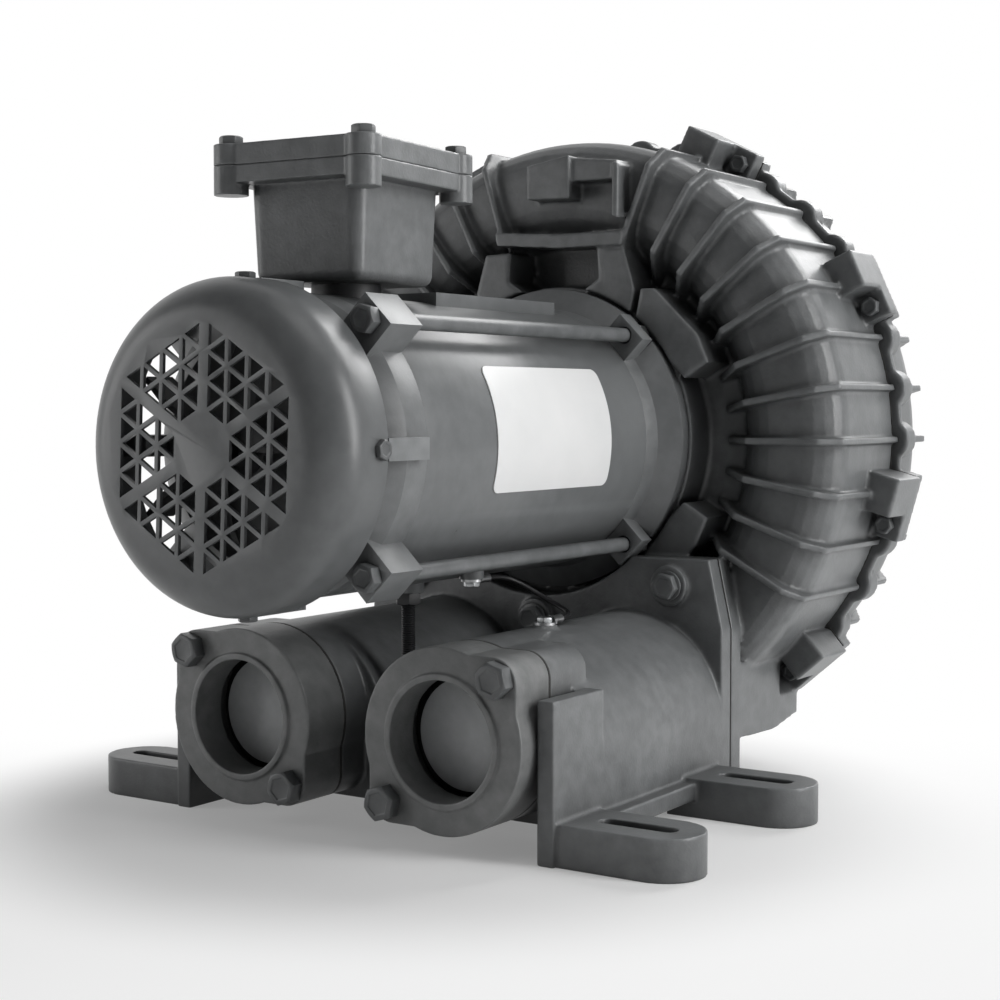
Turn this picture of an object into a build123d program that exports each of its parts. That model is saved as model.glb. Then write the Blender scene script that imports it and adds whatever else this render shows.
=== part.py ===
from build123d import *
import math
import os

# Side channel blower: fan-cooled motor, finned ring housing with its impeller,
# and a base casting that holds a silencer behind each port.
# The origin is on the floor at the centre of the four foot slots. X runs across
# the two ports, Y along the motor axis from the fan to the housing, Z is up.
# All sizes are in millimetres.

# Fits and gaps
FLOOR_GAP = 6.0
BOLT_GAP = 0.3
SEAT_GAP = 0.1
RUN_GAP = 0.5
MERGE = 1.0

# Base casting
FOOT_REACH = 35.0
FOOT_PITCH = 136.0
FOOT_WIDTH = 44.0
FOOT_THICK = 22.0
FOOT_TIP_BACK = 3.0
SLOT_LENGTH = 44.0
SLOT_WIDTH = 10.0
BASE_BACK_Y = 107.0
BASE_FLANGE = 12.0
BASE_LIFT = 10.0
BASE_WALL = 10.0
BODY_R = 60.0
BODY_DROP = 12.0
BODY_FRONT_Y = -52.0
WEB_FRONT_Y = -92.0
WEB_TOP = 84.0
RAIL_WIDTH = 8.0
RAIL_THICK = 10.0
BRIDGE_Y = -40.0
BRIDGE_WIDTH = 24.0
BRIDGE_TOP = 62.0
BRIDGE_THICK = 14.0
FLANGE_DROP = 70.0
FLANGE_TAPER = (9.0, 41.0)
BASE_BOLT_X = 94.0
BASE_BOLT_EDGE = 16.0
BASE_BOLT_BOSS_R = 12.0
BASE_BOLT_BOSS = 4.0
FLANK_THICK = 24.0
FLANK_PATH = [(0.0, 12.0), (11.0, 12.0), (11.0, 23.0), (60.0, 21.0), (95.0, 27.0)]

# Ports and silencers
PORT_SPAN = 136.0
PORT_HEIGHT = 60.0
PORT_FACE_Y = -105.0
PORT_R = 31.8
PORT_DEPTH = 20.0
PORT_LIP = 1.5
PORT_LIP_WIDTH = 3.5
PORT_FLANGE_R = 49.0
PORT_FLANGE_DEPTH = 31.0
PORT_CORNER = 46.0
PORT_CORNER_R = 14.0
PORT_BOLT_OFFSET = 35.0
PORT_GASKET = 1.5
PORT_BOLT_DEPTH = 22.0
CORNER_RUN = 36.0
CHAMBER_R = 40.0
THROAT_R = 38.0
LINER_THICK = 5.0
LINER_START = 10.0
TUBE_R = 24.0
TUBE_WALL = 1.5
TUBE_SEAT = 3.0
TUBE_CAP_R = 30.0
TUBE_CAP_SETBACK = 4.0
TUBE_HOLE = 7.0
TUBE_HOLE_ROWS = 6
TUBE_HOLE_COLUMNS = 6
DUCT_R = 22.0

# Bolts: shank radius, hexagon across flats, head height
PORT_BOLT = (5.0, 17.0, 8.0)
BASE_BOLT = (4.0, 14.0, 6.5)
COVER_BOLT = (3.0, 10.0, 5.5)
MOTOR_BOLT = (4.7, 14.0, 6.0)
THROUGH_BOLT = (4.75, 13.0, 7.0)
LID_BOLT = (3.0, 11.0, 4.5)
SMALL_SCREW = (2.5, 9.0, 3.0)
IMPELLER_BOLT = (4.0, 13.0, 6.0)
WASHER_THICK = 1.6

# Ring housing
GASKET = 0.8
HOUSING_FOOT = 13.0
HOUSING_FOOT_DEPTH = 30.0
DUCT_WALL = 10.0
CHANNEL_MEAN_R = 153.0
CHANNEL_R = 29.0
HOUSING_WALL = 5.0
SIDE_RUN = 11.0
RIM_STEP = 5.0
RIM_THICK = 4.5
FACE_WIDTH = 18.0
GROOVE_DEPTH = 22.0
KNEE_R = 20.0
HUB_PLATE = 8.0
ARC_SHARES = (0.0, 0.2, 0.4, 0.6, 0.8, 1.0)
MOUNT_STEP = 2.0
REGISTER_DEPTH = 4.0
MOTOR_BOLT_ANGLES = (0.0, 90.0, 180.0, 270.0)
STRIPPER_ANGLE = 32.0
LUG_ANGLES = (24.5, 63.0, 113.0, 150.0, 187.0, 226.0, 268.5, 311.0, 344.5)
LUG_HEIGHT = 18.0
LUG_LENGTH = 37.0
LUG_BACK = 13.0
LUG_BACK_STEP = 4.0
LUG_EAR = 12.0
LUG_EAR_WIDTH = 17.0
LUG_BLOCK_WIDTH = 24.0
LUG_BOLT_EDGE = 10.0
POCKET_LENGTH = 20.0

# Fins
FIN_COUNT = 37
FIN_FIRST = -29.3
FIN_LOW_GROUP = range(0, 11)
FIN_HIGH_GROUP = range(14, 26)
FIN_THICK = 4.0
FIN_FRONT = 8.0
FIN_SIDE = 4.0
FIN_FOOT_R = 109.0
FIN_FOOT = 2.0
FIN_CREST = 19.5
FIN_BEVEL = (12.0, 12.0)
FIN_ARC = (0.0, 20.0, 40.0, 58.0)
REAR_FIN_STEP = 6.0
LOBE_R = 12.0
LOBE_TIP = 10.0
LOBE_LENGTH = 14.0
RIB_COUNT = 9
RIB_STEP = 4

# Motor mount blocks and lifting eye: outlines as (share, angle) about the axis,
# where share 0 is the edge of the motor mount and 1 the outside of the shell
BLOCK_FRONT = 6.0
BLOCK_OUTLINE = [(-0.03, 50.7), (0.175, 55.8), (0.235, 51.8), (0.265, 32.0), (0.252, 23.2), (0.053, 21.8)]
WEB_OUTLINE = [(-0.1, 82.4), (0.102, 71.6), (0.29, 75.0), (0.35, 66.6), (0.14, 57.3), (-0.05, 53.2)]
LEDGE_OUTLINE = [(0.256, 88.1), (0.367, 66.9), (0.458, 68.4), (0.354, 88.2), (0.458, 108.0), (0.367, 108.5)]
LEDGE_FRONT = 10.0
LEDGE_TURN = 45.0
EYE_OUTLINE = [(0.595, 95.6), (0.586, 83.8), (0.877, 84.8), (0.822, 94.9)]
EYE_FRONT = 15.5
LINTEL_OUTLINE = [(0.7, 86.0), (0.713, 81.2), (0.76, 73.9), (0.89, 74.0), (0.86, 86.0)]
LINTEL_FRONT = 12.5
RIB_OUTLINE = [(0.53, 69.4), (0.53, 71.2), (0.87, 74.6), (0.87, 73.2)]
RIB_FRONT = 15.0

# Impeller
IMPELLER_WIDTH = 50.0
IMPELLER_LAND = 13.0
CUP_STEP = 4.0
IMPELLER_WEB = 8.0
IMPELLER_HUB_R = 26.0
IMPELLER_HUB_LENGTH = 40.0
IMPELLER_HUB_SLOPE = 6.0
IMPELLER_RIM_SLOPE = 8.0
CUP_POINTS = 5
KEY_SETBACK = 2.0
WASHER_STEP = 5.0
IMPELLER_BOLT_LENGTH = 22.0
BLADE_COUNT = 36
BLADE_THICK = 2.4
BLADE_TIP_WEB = 6.0
COVER_LAP = 7.0
COVER_HUB_R = 34.0
COVER_RIB = 5.0
COVER_RECESS = 9.0
COVER_BOSS = 6.0

# Motor
SHELL_R = 78.5
SHELL_WALL = 6.0
SHELL_LENGTH = 223.0
SPIGOT = 5.0
DRIVE_BRACKET_LENGTH = 26.0
FAN_BRACKET_LENGTH = 39.0
BRACKET_WALL = 6.0
EAR_WIDTH = 22.0
EAR_LENGTH = 26.0
DRIVE_EAR_LENGTH = 12.0
PAD_WIDTH = 11.0
PAD_LENGTH = 33.0
PAD_REACH = 10.0
PAD_ROOT = 8.5
DOME_STEPS = (5.5, 18.5)
DOME_RISE = 8.0
DOME_DEPTH = 18.0
DOME_SETBACK = 4.0
DOME_INNER_STEP = 16.5
MOUNT_INSET = 2.0
MOUNT_EDGE = 8.0
DRIVE_PLATE = 10.0
DRIVE_BORE_STEP = 4.0
NUT_ROOM = 3.0
MOTOR_TAP_DEPTH = 12.0
MOTOR_BOLT_GRIP = 10.0
ROD_END = 10.0
SHELL_PAD_WIDTH = 46.0
SHELL_PAD_Y = (-45.0, 78.0)
STATOR_LENGTH = 90.0
ROTOR_R = 38.0
AIR_GAP = 0.4
WINDING_STEP = 7.0
WINDING_LENGTH = 28.0
CAGE_RING = 8.0
CAGE_DEPTH = 14.0
COIL_ROUND = 5.0
LABEL_Y = (-68.0, 50.0)
LABEL_ANGLES = (-18.6, 31.7)
LABEL_THICK = 0.5

# Shaft and bearings: bore, outside, width, ball radius, balls
SHAFT_R = 15.0
SHOULDER = 2.5
SHAFT_COLLAR = 12.0
BALL_LAND = 0.7
FAN_BEARING = (8.5, 20.0, 12.0, 3.4, 7)
DRIVE_BEARING = (12.5, 26.0, 15.0, 4.0, 8)
BALL_GAP = 0.3
FAN_STUB_R = 8.0
SEAL_WIDTH = 7.0
SEAL_R = 20.0
IMPELLER_SHAFT_R = 11.0
KEY_WIDTH = 6.0
KEY_HEIGHT = 6.0
WAVE_WASHER = 1.2
WAVE_WIDTH = 5.0

# Cooling fan and its cover
COVER_LENGTH = 38.2
COVER_ROUND = 20.8
COVER_WALL = 2.0
NOTCH_WIDTH = 6.4
NOTCH_DEPTH = 9.0
NOTCH_REACH = 10.0
SCREW_REACH = 16.0
SCREW_LENGTH = 12.0
GRILLE_SHARE = 0.2337
GRILLE_ROWS = 4
GRILLE_SPOKE = 6.3
GRILLE_BAR = 2.3
GRILLE_TURN = -2.45
FAN_R = 58.0
FAN_HUB_R = 15.0
FAN_LENGTH = 22.0
FAN_BLADES = 5
FAN_BLADE_THICK = 3.0
FAN_SETBACK = 7.0
FAN_HUB_STEP = 3.0
FAN_TIP_STEP = 4.0
FAN_MIDDLE = 0.7
CLIP_THICK = 1.2
CLIP_R = 11.0

# Terminal box
BOX_X = 1.0
BOX_Y = -96.0
BOX_TURN = 4.0
BOX_GAP = 5.5
BOX_HEIGHT = 71.0
LID_BOLT_SPAN = (82.0, 89.0)
LID_CORNER_R = 9.0
LID_THICK = 11.0
LID_INSET = 3.0
BOX_FLANGE = 9.0
BOX_BOSS = 15.0
BOX_WIDTH = (72.0, 79.0)
BOX_WALL = 6.0
BOX_ROUND = 9.0
BOX_EDGE_ROUND = 6.0
BOX_INNER_ROUND = 4.0
BOX_TAPER = 3.0
NIPPLE_R = 18.5
NIPPLE_NECK_R = 13.0
NIPPLE_BORE = 10.0
NIPPLE_NUT_FLATS = 34.0
NIPPLE_NUT = 5.0
NIPPLE_RISE = 14.0
CONDUIT_R = 12.7
CONDUIT_BOSS_R = 19.0
CONDUIT_BOSS = 8.0
TERMINALS = 3
TERMINAL_PITCH = 16.0
TERMINAL_SCREW_R = 1.8
TERMINAL_BLOCK = (48.0, 9.0, 16.0)
TERMINAL_RIB = (2.0, 5.0)
TERMINAL_TAP = 8.0

# Motor support and bonding lead
STUD_R = 4.0
STUD_BOSS_R = 9.0
STUD_BOSS = 5.0
STUD_NUT = 7.0
STUD_NUT_FLATS = 13.0
LEAD_R = 1.5
LEAD_LUG_R = 6.0
LEAD_LUG_THICK = 1.5
LEAD_BARREL_R = 2.6
LEAD_BEND = 0.45
LEAD_SCREW = (2.0, 8.0, 3.0)
LEAD_SCREW_DEPTH = 7.0
LEAD_BOSS_R = 7.0
LEAD_TOP_PLACE = (30.0, -21.0)
LEAD_TOP_BOSS = 3.5
LEAD_LOW_PLACE = (70.0, -7.5)
LEAD_LOW_BOSS = 2.4
# Route from the upper lug: share of the way across, offset along Y, share of the way down
LEAD_ROUTE = [
    (0.0, 16.0, 0.0),
    (0.0, 30.0, 0.0),
    (0.125, 42.0, 0.21),
    (0.4, 50.0, 0.6),
    (0.667, 52.0, 0.85),
    (0.875, 47.0, 0.94),
    (1.0, 38.0, 0.97),
    (1.0, 29.5, 1.0),
]
LEAD_LIFT = (-0.75, 2.0)

# Places that follow from the sizes above
PORT_X = PORT_SPAN / 2
BASE_HALF_WIDTH = PORT_X + BODY_R
FOOT_X = BASE_HALF_WIDTH + FOOT_REACH
FOOT_Y = FOOT_PITCH / 2
BASE_FRONT_Y = PORT_FACE_Y + PORT_FLANGE_DEPTH + PORT_GASKET
HOUSING_BACK_Y = BASE_BACK_Y + GASKET
SHELL_FRONT_Y = HOUSING_BACK_Y + HOUSING_FOOT
MOUNT_Y = SHELL_FRONT_Y - MOUNT_STEP
CHANNEL_Y = SHELL_FRONT_Y + HOUSING_WALL + CHANNEL_R
IMPELLER_Y = CHANNEL_Y + SIDE_RUN
IMPELLER_END_Y = IMPELLER_Y + IMPELLER_WIDTH
IMPELLER_MID_Y = IMPELLER_Y + IMPELLER_WIDTH / 2
JOINT_Y = IMPELLER_END_Y - COVER_LAP
REAR_CHANNEL_Y = IMPELLER_END_Y + SIDE_RUN
REAR_SHELL_Y = REAR_CHANNEL_Y + CHANNEL_R + HOUSING_WALL
BORE_R = CHANNEL_MEAN_R + CHANNEL_R
CHANNEL_INNER_R = CHANNEL_MEAN_R - CHANNEL_R
SHELL_OUTER_R = BORE_R + HOUSING_WALL
RIM_R = SHELL_OUTER_R + RIM_STEP
LUG_R = SHELL_OUTER_R + LUG_HEIGHT
LUG_BOLT_R = LUG_R - LUG_BOLT_EDGE
AXIS_HEIGHT = LUG_R + FLOOR_GAP
FACE_INNER_R = CHANNEL_INNER_R - FACE_WIDTH
IMPELLER_R = BORE_R - RUN_GAP
IMPELLER_CUP_R = CHANNEL_INNER_R + CUP_STEP
IMPELLER_INNER_R = IMPELLER_CUP_R - IMPELLER_LAND
HUB_PLATE_Y = SHELL_FRONT_Y + GROOVE_DEPTH
COVER_PLATE_Y = IMPELLER_END_Y + COVER_RECESS
DRIVE_Y = MOUNT_Y - DRIVE_BRACKET_LENGTH
SHELL_Y = DRIVE_Y - SHELL_LENGTH
FAN_BRACKET_Y = SHELL_Y - FAN_BRACKET_LENGTH
COVER_Y = FAN_BRACKET_Y - COVER_LENGTH
SHELL_BORE_R = SHELL_R - SHELL_WALL
SHELL_PAD_TOP = SHELL_R + 4.0
WINDING_R = (ROTOR_R + WINDING_STEP, SHELL_BORE_R - WINDING_STEP)
EAR_R = SHELL_R + 17.5
ROD_R = SHELL_R + 10.2
PAD_R = SHELL_R + 5.5
COVER_R = SHELL_R + 5.2
MOUNT_R = SHELL_R + 16.5
REGISTER_R = SHELL_R - 21.35
MOTOR_BOLT_R = SHELL_R - 3.9
GRILLE_PITCH = GRILLE_SHARE * (COVER_R - COVER_ROUND)
FLANGE_TOP = AXIS_HEIGHT - FLANGE_DROP
BODY_MID_Z = PORT_HEIGHT - BODY_DROP
BOX_BOTTOM = AXIS_HEIGHT + SHELL_R + BOX_GAP
BOX_TOP = BOX_BOTTOM + BOX_HEIGHT
LEAD_TOP_Z = AXIS_HEIGHT - math.sqrt(SHELL_R**2 - LEAD_TOP_PLACE[0]**2) - LEAD_TOP_BOSS
LEAD_TOP = (*LEAD_TOP_PLACE, LEAD_TOP_Z)
LEAD_LOW_Z = BODY_MID_Z + math.sqrt(BODY_R**2 - (LEAD_LOW_PLACE[0] - PORT_X) ** 2) + LEAD_LOW_BOSS
LEAD_LOW = (*LEAD_LOW_PLACE, LEAD_LOW_Z)
CORE_MID_Y = SHELL_Y + SHELL_LENGTH / 2
FAN_BEARING_Y = FAN_BRACKET_Y + 8.0
DRIVE_BEARING_Y = DRIVE_Y + 6.0
FAN_Y = COVER_Y + FAN_SETBACK
ROD_ANGLES = (45.0, 135.0, 225.0, 315.0)
SIDES = (-1, 1)


def save(node, *solids):
    """Write one named node to its own file."""
    export_step(Compound(children=list(solids)), f"parts/{node}.step")


def lift(part):
    """Move a piece made about the Y axis up to the motor axis."""
    return Pos(0, 0, AXIS_HEIGHT) * part


def across(sketch, y0, y1):
    """Extrude a sketch of (x, z) from y0 to y1."""
    return extrude(Plane.XZ.offset(-y1) * sketch, y1 - y0)


def upright(sketch, z0, z1):
    """Extrude a sketch of (x, y) from z0 to z1."""
    return extrude(Plane.XY.offset(z0) * sketch, z1 - z0)


def bar(radius, y0, y1, x=0, z=0):
    """Round bar along Y."""
    return across(Pos(x, z) * Circle(radius), y0, y1)


def ring(outer, inner, y0, y1, x=0, z=0):
    """Round tube along Y."""
    return bar(outer, y0, y1, x, z) - bar(inner, y0 - MERGE, y1 + MERGE, x, z)


def turned(points):
    """Revolve a closed outline of (radius, y) about the Y axis."""
    return revolve(make_face(Polyline(*points, close=True)), axis=Axis.Y)


def at_angle(part, degrees):
    """Turn a piece about the Y axis from +X towards +Z."""
    return Rot(0, -degrees, 0) * part


def around(part, angles):
    """Copies of a piece at each angle about the Y axis."""
    return [at_angle(part, degrees) for degrees in angles]


def hexagon(flats):
    """Regular hexagon of the given size across its flats."""
    return RegularPolygon(flats / 2, 6, major_radius=False)


def bolt_along_y(size, head_y, length, x, z, forward=1):
    """Hexagon bolt with its head seat at head_y and its shank running along Y."""
    shank, flats, head = size
    if forward > 0:
        body = bar(shank, head_y, head_y + length, x, z)
        cap = across(Pos(x, z) * hexagon(flats), head_y - head, head_y)
    else:
        body = bar(shank, head_y - length, head_y, x, z)
        cap = across(Pos(x, z) * hexagon(flats), head_y, head_y + head)
    return body + cap


def spoke_box(r0, r1, width, y0, y1):
    """Block along +X from radius r0 to r1, centred on the axis height."""
    return across(Pos((r0 + r1) / 2, 0) * Rectangle(r1 - r0, width), y0, y1)


def port_outline(side):
    """Round flange outline with its two square bolt corners."""
    corner = Rectangle(PORT_CORNER, PORT_CORNER, align=(Align.MIN, Align.MIN))
    tip = corner.vertices().sort_by_distance((PORT_CORNER, PORT_CORNER))[0]
    corner = fillet(tip, PORT_CORNER_R)
    outline = Circle(PORT_FLANGE_R) + corner + Rot(0, 0, 180) * corner
    if side < 0:
        outline = mirror(outline, about=Plane.YZ)
    return outline


def port_bolt_places(side):
    """Centres of the two bolts of a port, as (x, z)."""
    middle = side * PORT_X
    reach = side * PORT_BOLT_OFFSET
    return [
        (middle + reach, PORT_HEIGHT + PORT_BOLT_OFFSET),
        (middle - reach, PORT_HEIGHT - PORT_BOLT_OFFSET),
    ]


def port_flange(side):
    """Cast flange with the pipe bore, its lip and the throat behind it."""
    x = side * PORT_X
    place = Pos(x, PORT_HEIGHT)
    back = PORT_FACE_Y + PORT_FLANGE_DEPTH
    body = across(place * port_outline(side), PORT_FACE_Y, back)
    lip = PORT_R + PORT_LIP_WIDTH
    body += bar(lip, PORT_FACE_Y - PORT_LIP, PORT_FACE_Y + MERGE, x, PORT_HEIGHT)
    body -= bar(PORT_R, PORT_FACE_Y - 2 * PORT_LIP, back + MERGE, x, PORT_HEIGHT)
    body -= bar(THROAT_R, PORT_FACE_Y + PORT_DEPTH, back + MERGE, x, PORT_HEIGHT)
    for bolt_x, bolt_z in port_bolt_places(side):
        hole = PORT_BOLT[0] + BOLT_GAP
        body -= bar(hole, PORT_FACE_Y - MERGE, back + MERGE, bolt_x, bolt_z)
    return body


def port_gasket(side):
    """Flat gasket between a port flange and the base casting."""
    front = PORT_FACE_Y + PORT_FLANGE_DEPTH
    sheet = across(Pos(side * PORT_X, PORT_HEIGHT) * port_outline(side), front, BASE_FRONT_Y)
    sheet -= bar(THROAT_R, front - MERGE, BASE_FRONT_Y + MERGE, side * PORT_X, PORT_HEIGHT)
    for bolt_x, bolt_z in port_bolt_places(side):
        hole = PORT_BOLT[0] + BOLT_GAP
        sheet -= bar(hole, front - MERGE, BASE_FRONT_Y + MERGE, bolt_x, bolt_z)
    return sheet


def port_bolts():
    """The four hexagon bolts of the two port flanges."""
    length = PORT_FLANGE_DEPTH + PORT_GASKET + PORT_BOLT_DEPTH
    return [
        bolt_along_y(PORT_BOLT, PORT_FACE_Y, length, x, z)
        for side in SIDES
        for x, z in port_bolt_places(side)
    ]


def silencer_liner(side):
    """Foam sleeve on the wall of a silencer chamber."""
    start = BASE_FRONT_Y + LINER_START
    end = BASE_BACK_Y - BASE_FLANGE
    return ring(CHAMBER_R, CHAMBER_R - LINER_THICK, start, end, side * PORT_X, PORT_HEIGHT)


def silencer_tube(side):
    """Perforated tube, closed in front by a disc and seated in the back wall."""
    x = side * PORT_X
    start = PORT_FACE_Y + PORT_DEPTH + TUBE_CAP_SETBACK
    end = BASE_BACK_Y - BASE_FLANGE + TUBE_SEAT
    tube = ring(TUBE_R, TUBE_R - TUBE_WALL, start, end)
    run = end - start
    pitch = run / (TUBE_HOLE_COLUMNS + 1)
    for column in range(1, TUBE_HOLE_COLUMNS + 1):
        middle = start + column * pitch
        slot = spoke_box(0, TUBE_R + MERGE, TUBE_HOLE, middle - TUBE_HOLE, middle + TUBE_HOLE)
        for row in range(TUBE_HOLE_ROWS):
            tube -= at_angle(slot, row * 360 / TUBE_HOLE_ROWS)
    tube += bar(TUBE_CAP_R, start, start + TUBE_WALL)
    return Pos(x, 0, PORT_HEIGHT) * tube


def foot(side, y):
    """Slotted foot reaching out from the side wall."""
    inner = BASE_HALF_WIDTH - BASE_WALL
    tip = FOOT_X + (SLOT_LENGTH - SLOT_WIDTH) / 2 - FOOT_TIP_BACK
    pad = Pos((inner + tip) / 2, 0) * Rectangle(tip - inner, FOOT_WIDTH)
    pad += Pos(tip, 0) * Circle(FOOT_WIDTH / 2)
    pad -= Pos(FOOT_X, 0) * SlotOverall(SLOT_LENGTH, SLOT_WIDTH)
    solid = Pos(0, y, 0) * upright(pad, 0, FOOT_THICK)
    return solid if side > 0 else mirror(solid, about=Plane.YZ)


def base_flange_outline():
    """Outline of the joint between base and housing, cut round under the motor."""
    inward, down = FLANGE_TAPER
    half = [
        (BASE_HALF_WIDTH, BASE_LIFT),
        (BASE_HALF_WIDTH, FLANGE_TOP - down),
        (BASE_HALF_WIDTH - inward, FLANGE_TOP),
    ]
    plate = make_face(Polyline(*half, *[(-x, z) for x, z in reversed(half)], close=True))
    return plate - Pos(0, AXIS_HEIGHT) * Circle(MOUNT_R + 2 * MERGE)


def base_bolt_places():
    """Bolts of the joint between base and housing, as (x, z)."""
    high = FLANGE_TOP - BASE_BOLT_EDGE
    middle = AXIS_HEIGHT - MOUNT_R - BASE_BOLT_EDGE
    low = BASE_LIFT + 2 * BASE_BOLT_EDGE
    return [(-BASE_BOLT_X, high), (BASE_BOLT_X, high), (0.0, middle), (0.0, low)]


def base_half(side):
    """One silencer body of the base, without its bores."""
    x = side * PORT_X
    outer = side * BASE_HALF_WIDTH
    low_body = BODY_MID_Z
    half = bar(PORT_FLANGE_R, BASE_FRONT_Y, BASE_BACK_Y, x, PORT_HEIGHT)
    dome = Pos(x, low_body) * Circle(BODY_R)
    dome += Pos((x + outer) / 2, low_body / 2) * Rectangle(abs(outer - x), low_body)
    dome &= Pos(0, BASE_LIFT) * Rectangle(4 * BASE_HALF_WIDTH, 4 * BODY_R, align=(Align.CENTER, Align.MIN))
    half += across(dome, BODY_FRONT_Y, BASE_BACK_Y)
    web = Pos(outer - side * BASE_WALL / 2, WEB_TOP / 2) * Rectangle(BASE_WALL, WEB_TOP)
    half += across(web, WEB_FRONT_Y, BODY_FRONT_Y + BASE_WALL)
    half += across(Pos(x, PORT_HEIGHT) * port_outline(side), BASE_FRONT_Y, BASE_FRONT_Y + CORNER_RUN)
    rail_x = outer + side * RAIL_WIDTH / 2
    rail = Pos(rail_x, BASE_LIFT + RAIL_THICK / 2) * Rectangle(RAIL_WIDTH + MERGE, RAIL_THICK)
    half += across(rail, -FOOT_Y, FOOT_Y)
    for y in (-FOOT_Y, FOOT_Y):
        half += foot(side, y)
    return half


def base_bores(side):
    """Silencer chamber, tube seat, duct and bolt holes of one side."""
    x = side * PORT_X
    chamber_end = BASE_BACK_Y - BASE_FLANGE
    bores = bar(CHAMBER_R, BASE_FRONT_Y - MERGE, chamber_end, x, PORT_HEIGHT)
    bores += bar(TUBE_R + SEAT_GAP, chamber_end - MERGE, chamber_end + TUBE_SEAT, x, PORT_HEIGHT)
    bores += bar(DUCT_R, chamber_end, BASE_BACK_Y + MERGE, x, PORT_HEIGHT)
    for bolt_x, bolt_z in port_bolt_places(side):
        depth = BASE_FRONT_Y + PORT_BOLT_DEPTH + MERGE
        bores += bar(PORT_BOLT[0] + SEAT_GAP, BASE_FRONT_Y - MERGE, depth, bolt_x, bolt_z)
    return bores


def manifold():
    """Base casting: two silencer bodies, joint flange, bridge, side webs and feet."""
    body = across(base_flange_outline(), BASE_BACK_Y - BASE_FLANGE, BASE_BACK_Y)
    for side in SIDES:
        body += base_half(side)
    gap = PORT_SPAN - 2 * (PORT_FLANGE_R - BASE_WALL)
    floor = Pos(0, BASE_LIFT + RAIL_THICK) * Rectangle(gap, RAIL_THICK)
    body += across(floor, BRIDGE_Y, BASE_BACK_Y)
    bridge = Pos(0, BRIDGE_TOP - BRIDGE_THICK / 2) * Rectangle(gap, BRIDGE_THICK)
    body += across(bridge, BRIDGE_Y - BRIDGE_WIDTH / 2, BRIDGE_Y + BRIDGE_WIDTH / 2)
    for side in SIDES:
        body -= base_bores(side)
    for x, z in base_bolt_places():
        body += bar(BASE_BOLT_BOSS_R, BASE_BACK_Y - BASE_FLANGE - BASE_BOLT_BOSS, BASE_BACK_Y, x, z)
        body -= bar(BASE_BOLT[0] + BOLT_GAP, BASE_BACK_Y - 2 * BASE_FLANGE, BASE_BACK_Y + MERGE, x, z)
    x, y, z = LEAD_LOW
    body += Pos(x, y, 0) * upright(Circle(LEAD_BOSS_R), z - LEAD_SCREW_DEPTH, z)
    body -= Pos(x, y, 0) * upright(Circle(LEAD_SCREW[0] + SEAT_GAP), z - LEAD_SCREW_DEPTH - MERGE, z + MERGE)
    stud_hole = Circle(STUD_R + SEAT_GAP)
    body -= Pos(0, BRIDGE_Y, 0) * upright(stud_hole, BRIDGE_TOP - BRIDGE_THICK - MERGE, BRIDGE_TOP + MERGE)
    return body


def base_gasket():
    """Flat gasket between the base and the housing foot."""
    sheet = across(base_flange_outline(), BASE_BACK_Y, HOUSING_BACK_Y)
    for side in SIDES:
        sheet -= bar(DUCT_R, BASE_BACK_Y - MERGE, HOUSING_BACK_Y + MERGE, side * PORT_X, PORT_HEIGHT)
    for x, z in base_bolt_places():
        sheet -= bar(BASE_BOLT[0] + BOLT_GAP, BASE_BACK_Y - MERGE, HOUSING_BACK_Y + MERGE, x, z)
    return sheet


def base_bolts():
    """Bolts that hold the housing foot to the base."""
    seat = BASE_BACK_Y - BASE_FLANGE - BASE_BOLT_BOSS
    length = BASE_BOLT_BOSS + BASE_FLANGE + GASKET + HOUSING_FOOT - 2 * MERGE
    return [bolt_along_y(BASE_BOLT, seat, length, x, z) for x, z in base_bolt_places()]


def knee(r, y, turn_y, radius, count=5):
    """Points of a rounded corner from along the front to along the side."""
    centre_r = r - radius
    centre_y = y + turn_y * radius
    points = []
    for step in range(count + 1):
        angle = math.radians(90 * step / count)
        points.append((centre_r + radius * math.sin(angle), centre_y - turn_y * radius * math.cos(angle)))
    return points


def channel_arc(y, direction, radius, angles):
    """Points on a circle about the channel centre, from the front towards the axis."""
    points = []
    for degrees in angles:
        turn = math.radians(degrees)
        points.append((CHANNEL_MEAN_R - radius * math.sin(turn), y - direction * radius * math.cos(turn)))
    return points


def ring_point(share, degrees):
    """Point (x, z) about the axis, from the motor mount (0) to the shell's outside (1)."""
    radius = MOUNT_R + share * (SHELL_OUTER_R - MOUNT_R)
    turn = math.radians(degrees)
    return radius * math.cos(turn), radius * math.sin(turn)


def ring_face(outline):
    """Flat face from an outline of (share, angle)."""
    return make_face(Polyline(*[ring_point(*place) for place in outline], close=True))


def housing_shell():
    """Front half of the ring housing as a turned solid, its channel still filled."""
    outside = CHANNEL_R + HOUSING_WALL
    groove_turn = math.degrees(math.acos((CHANNEL_Y - HUB_PLATE_Y) / outside))
    outline = [
        (SEAL_R + SEAT_GAP, HUB_PLATE_Y),
        (REGISTER_R, HUB_PLATE_Y),
        (REGISTER_R, MOUNT_Y),
        (MOUNT_R, MOUNT_Y),
        (MOUNT_R, HUB_PLATE_Y),
        *channel_arc(CHANNEL_Y, 1, outside, [groove_turn * share for share in reversed(ARC_SHARES)]),
        *knee(SHELL_OUTER_R, SHELL_FRONT_Y, 1, KNEE_R),
        (SHELL_OUTER_R, JOINT_Y),
        (BORE_R, JOINT_Y),
        (BORE_R, IMPELLER_Y - RUN_GAP),
        (FACE_INNER_R, IMPELLER_Y - RUN_GAP),
        (FACE_INNER_R, HUB_PLATE_Y + HUB_PLATE),
        (SEAL_R + SEAT_GAP, HUB_PLATE_Y + HUB_PLATE),
    ]
    return turned(outline)


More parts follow.
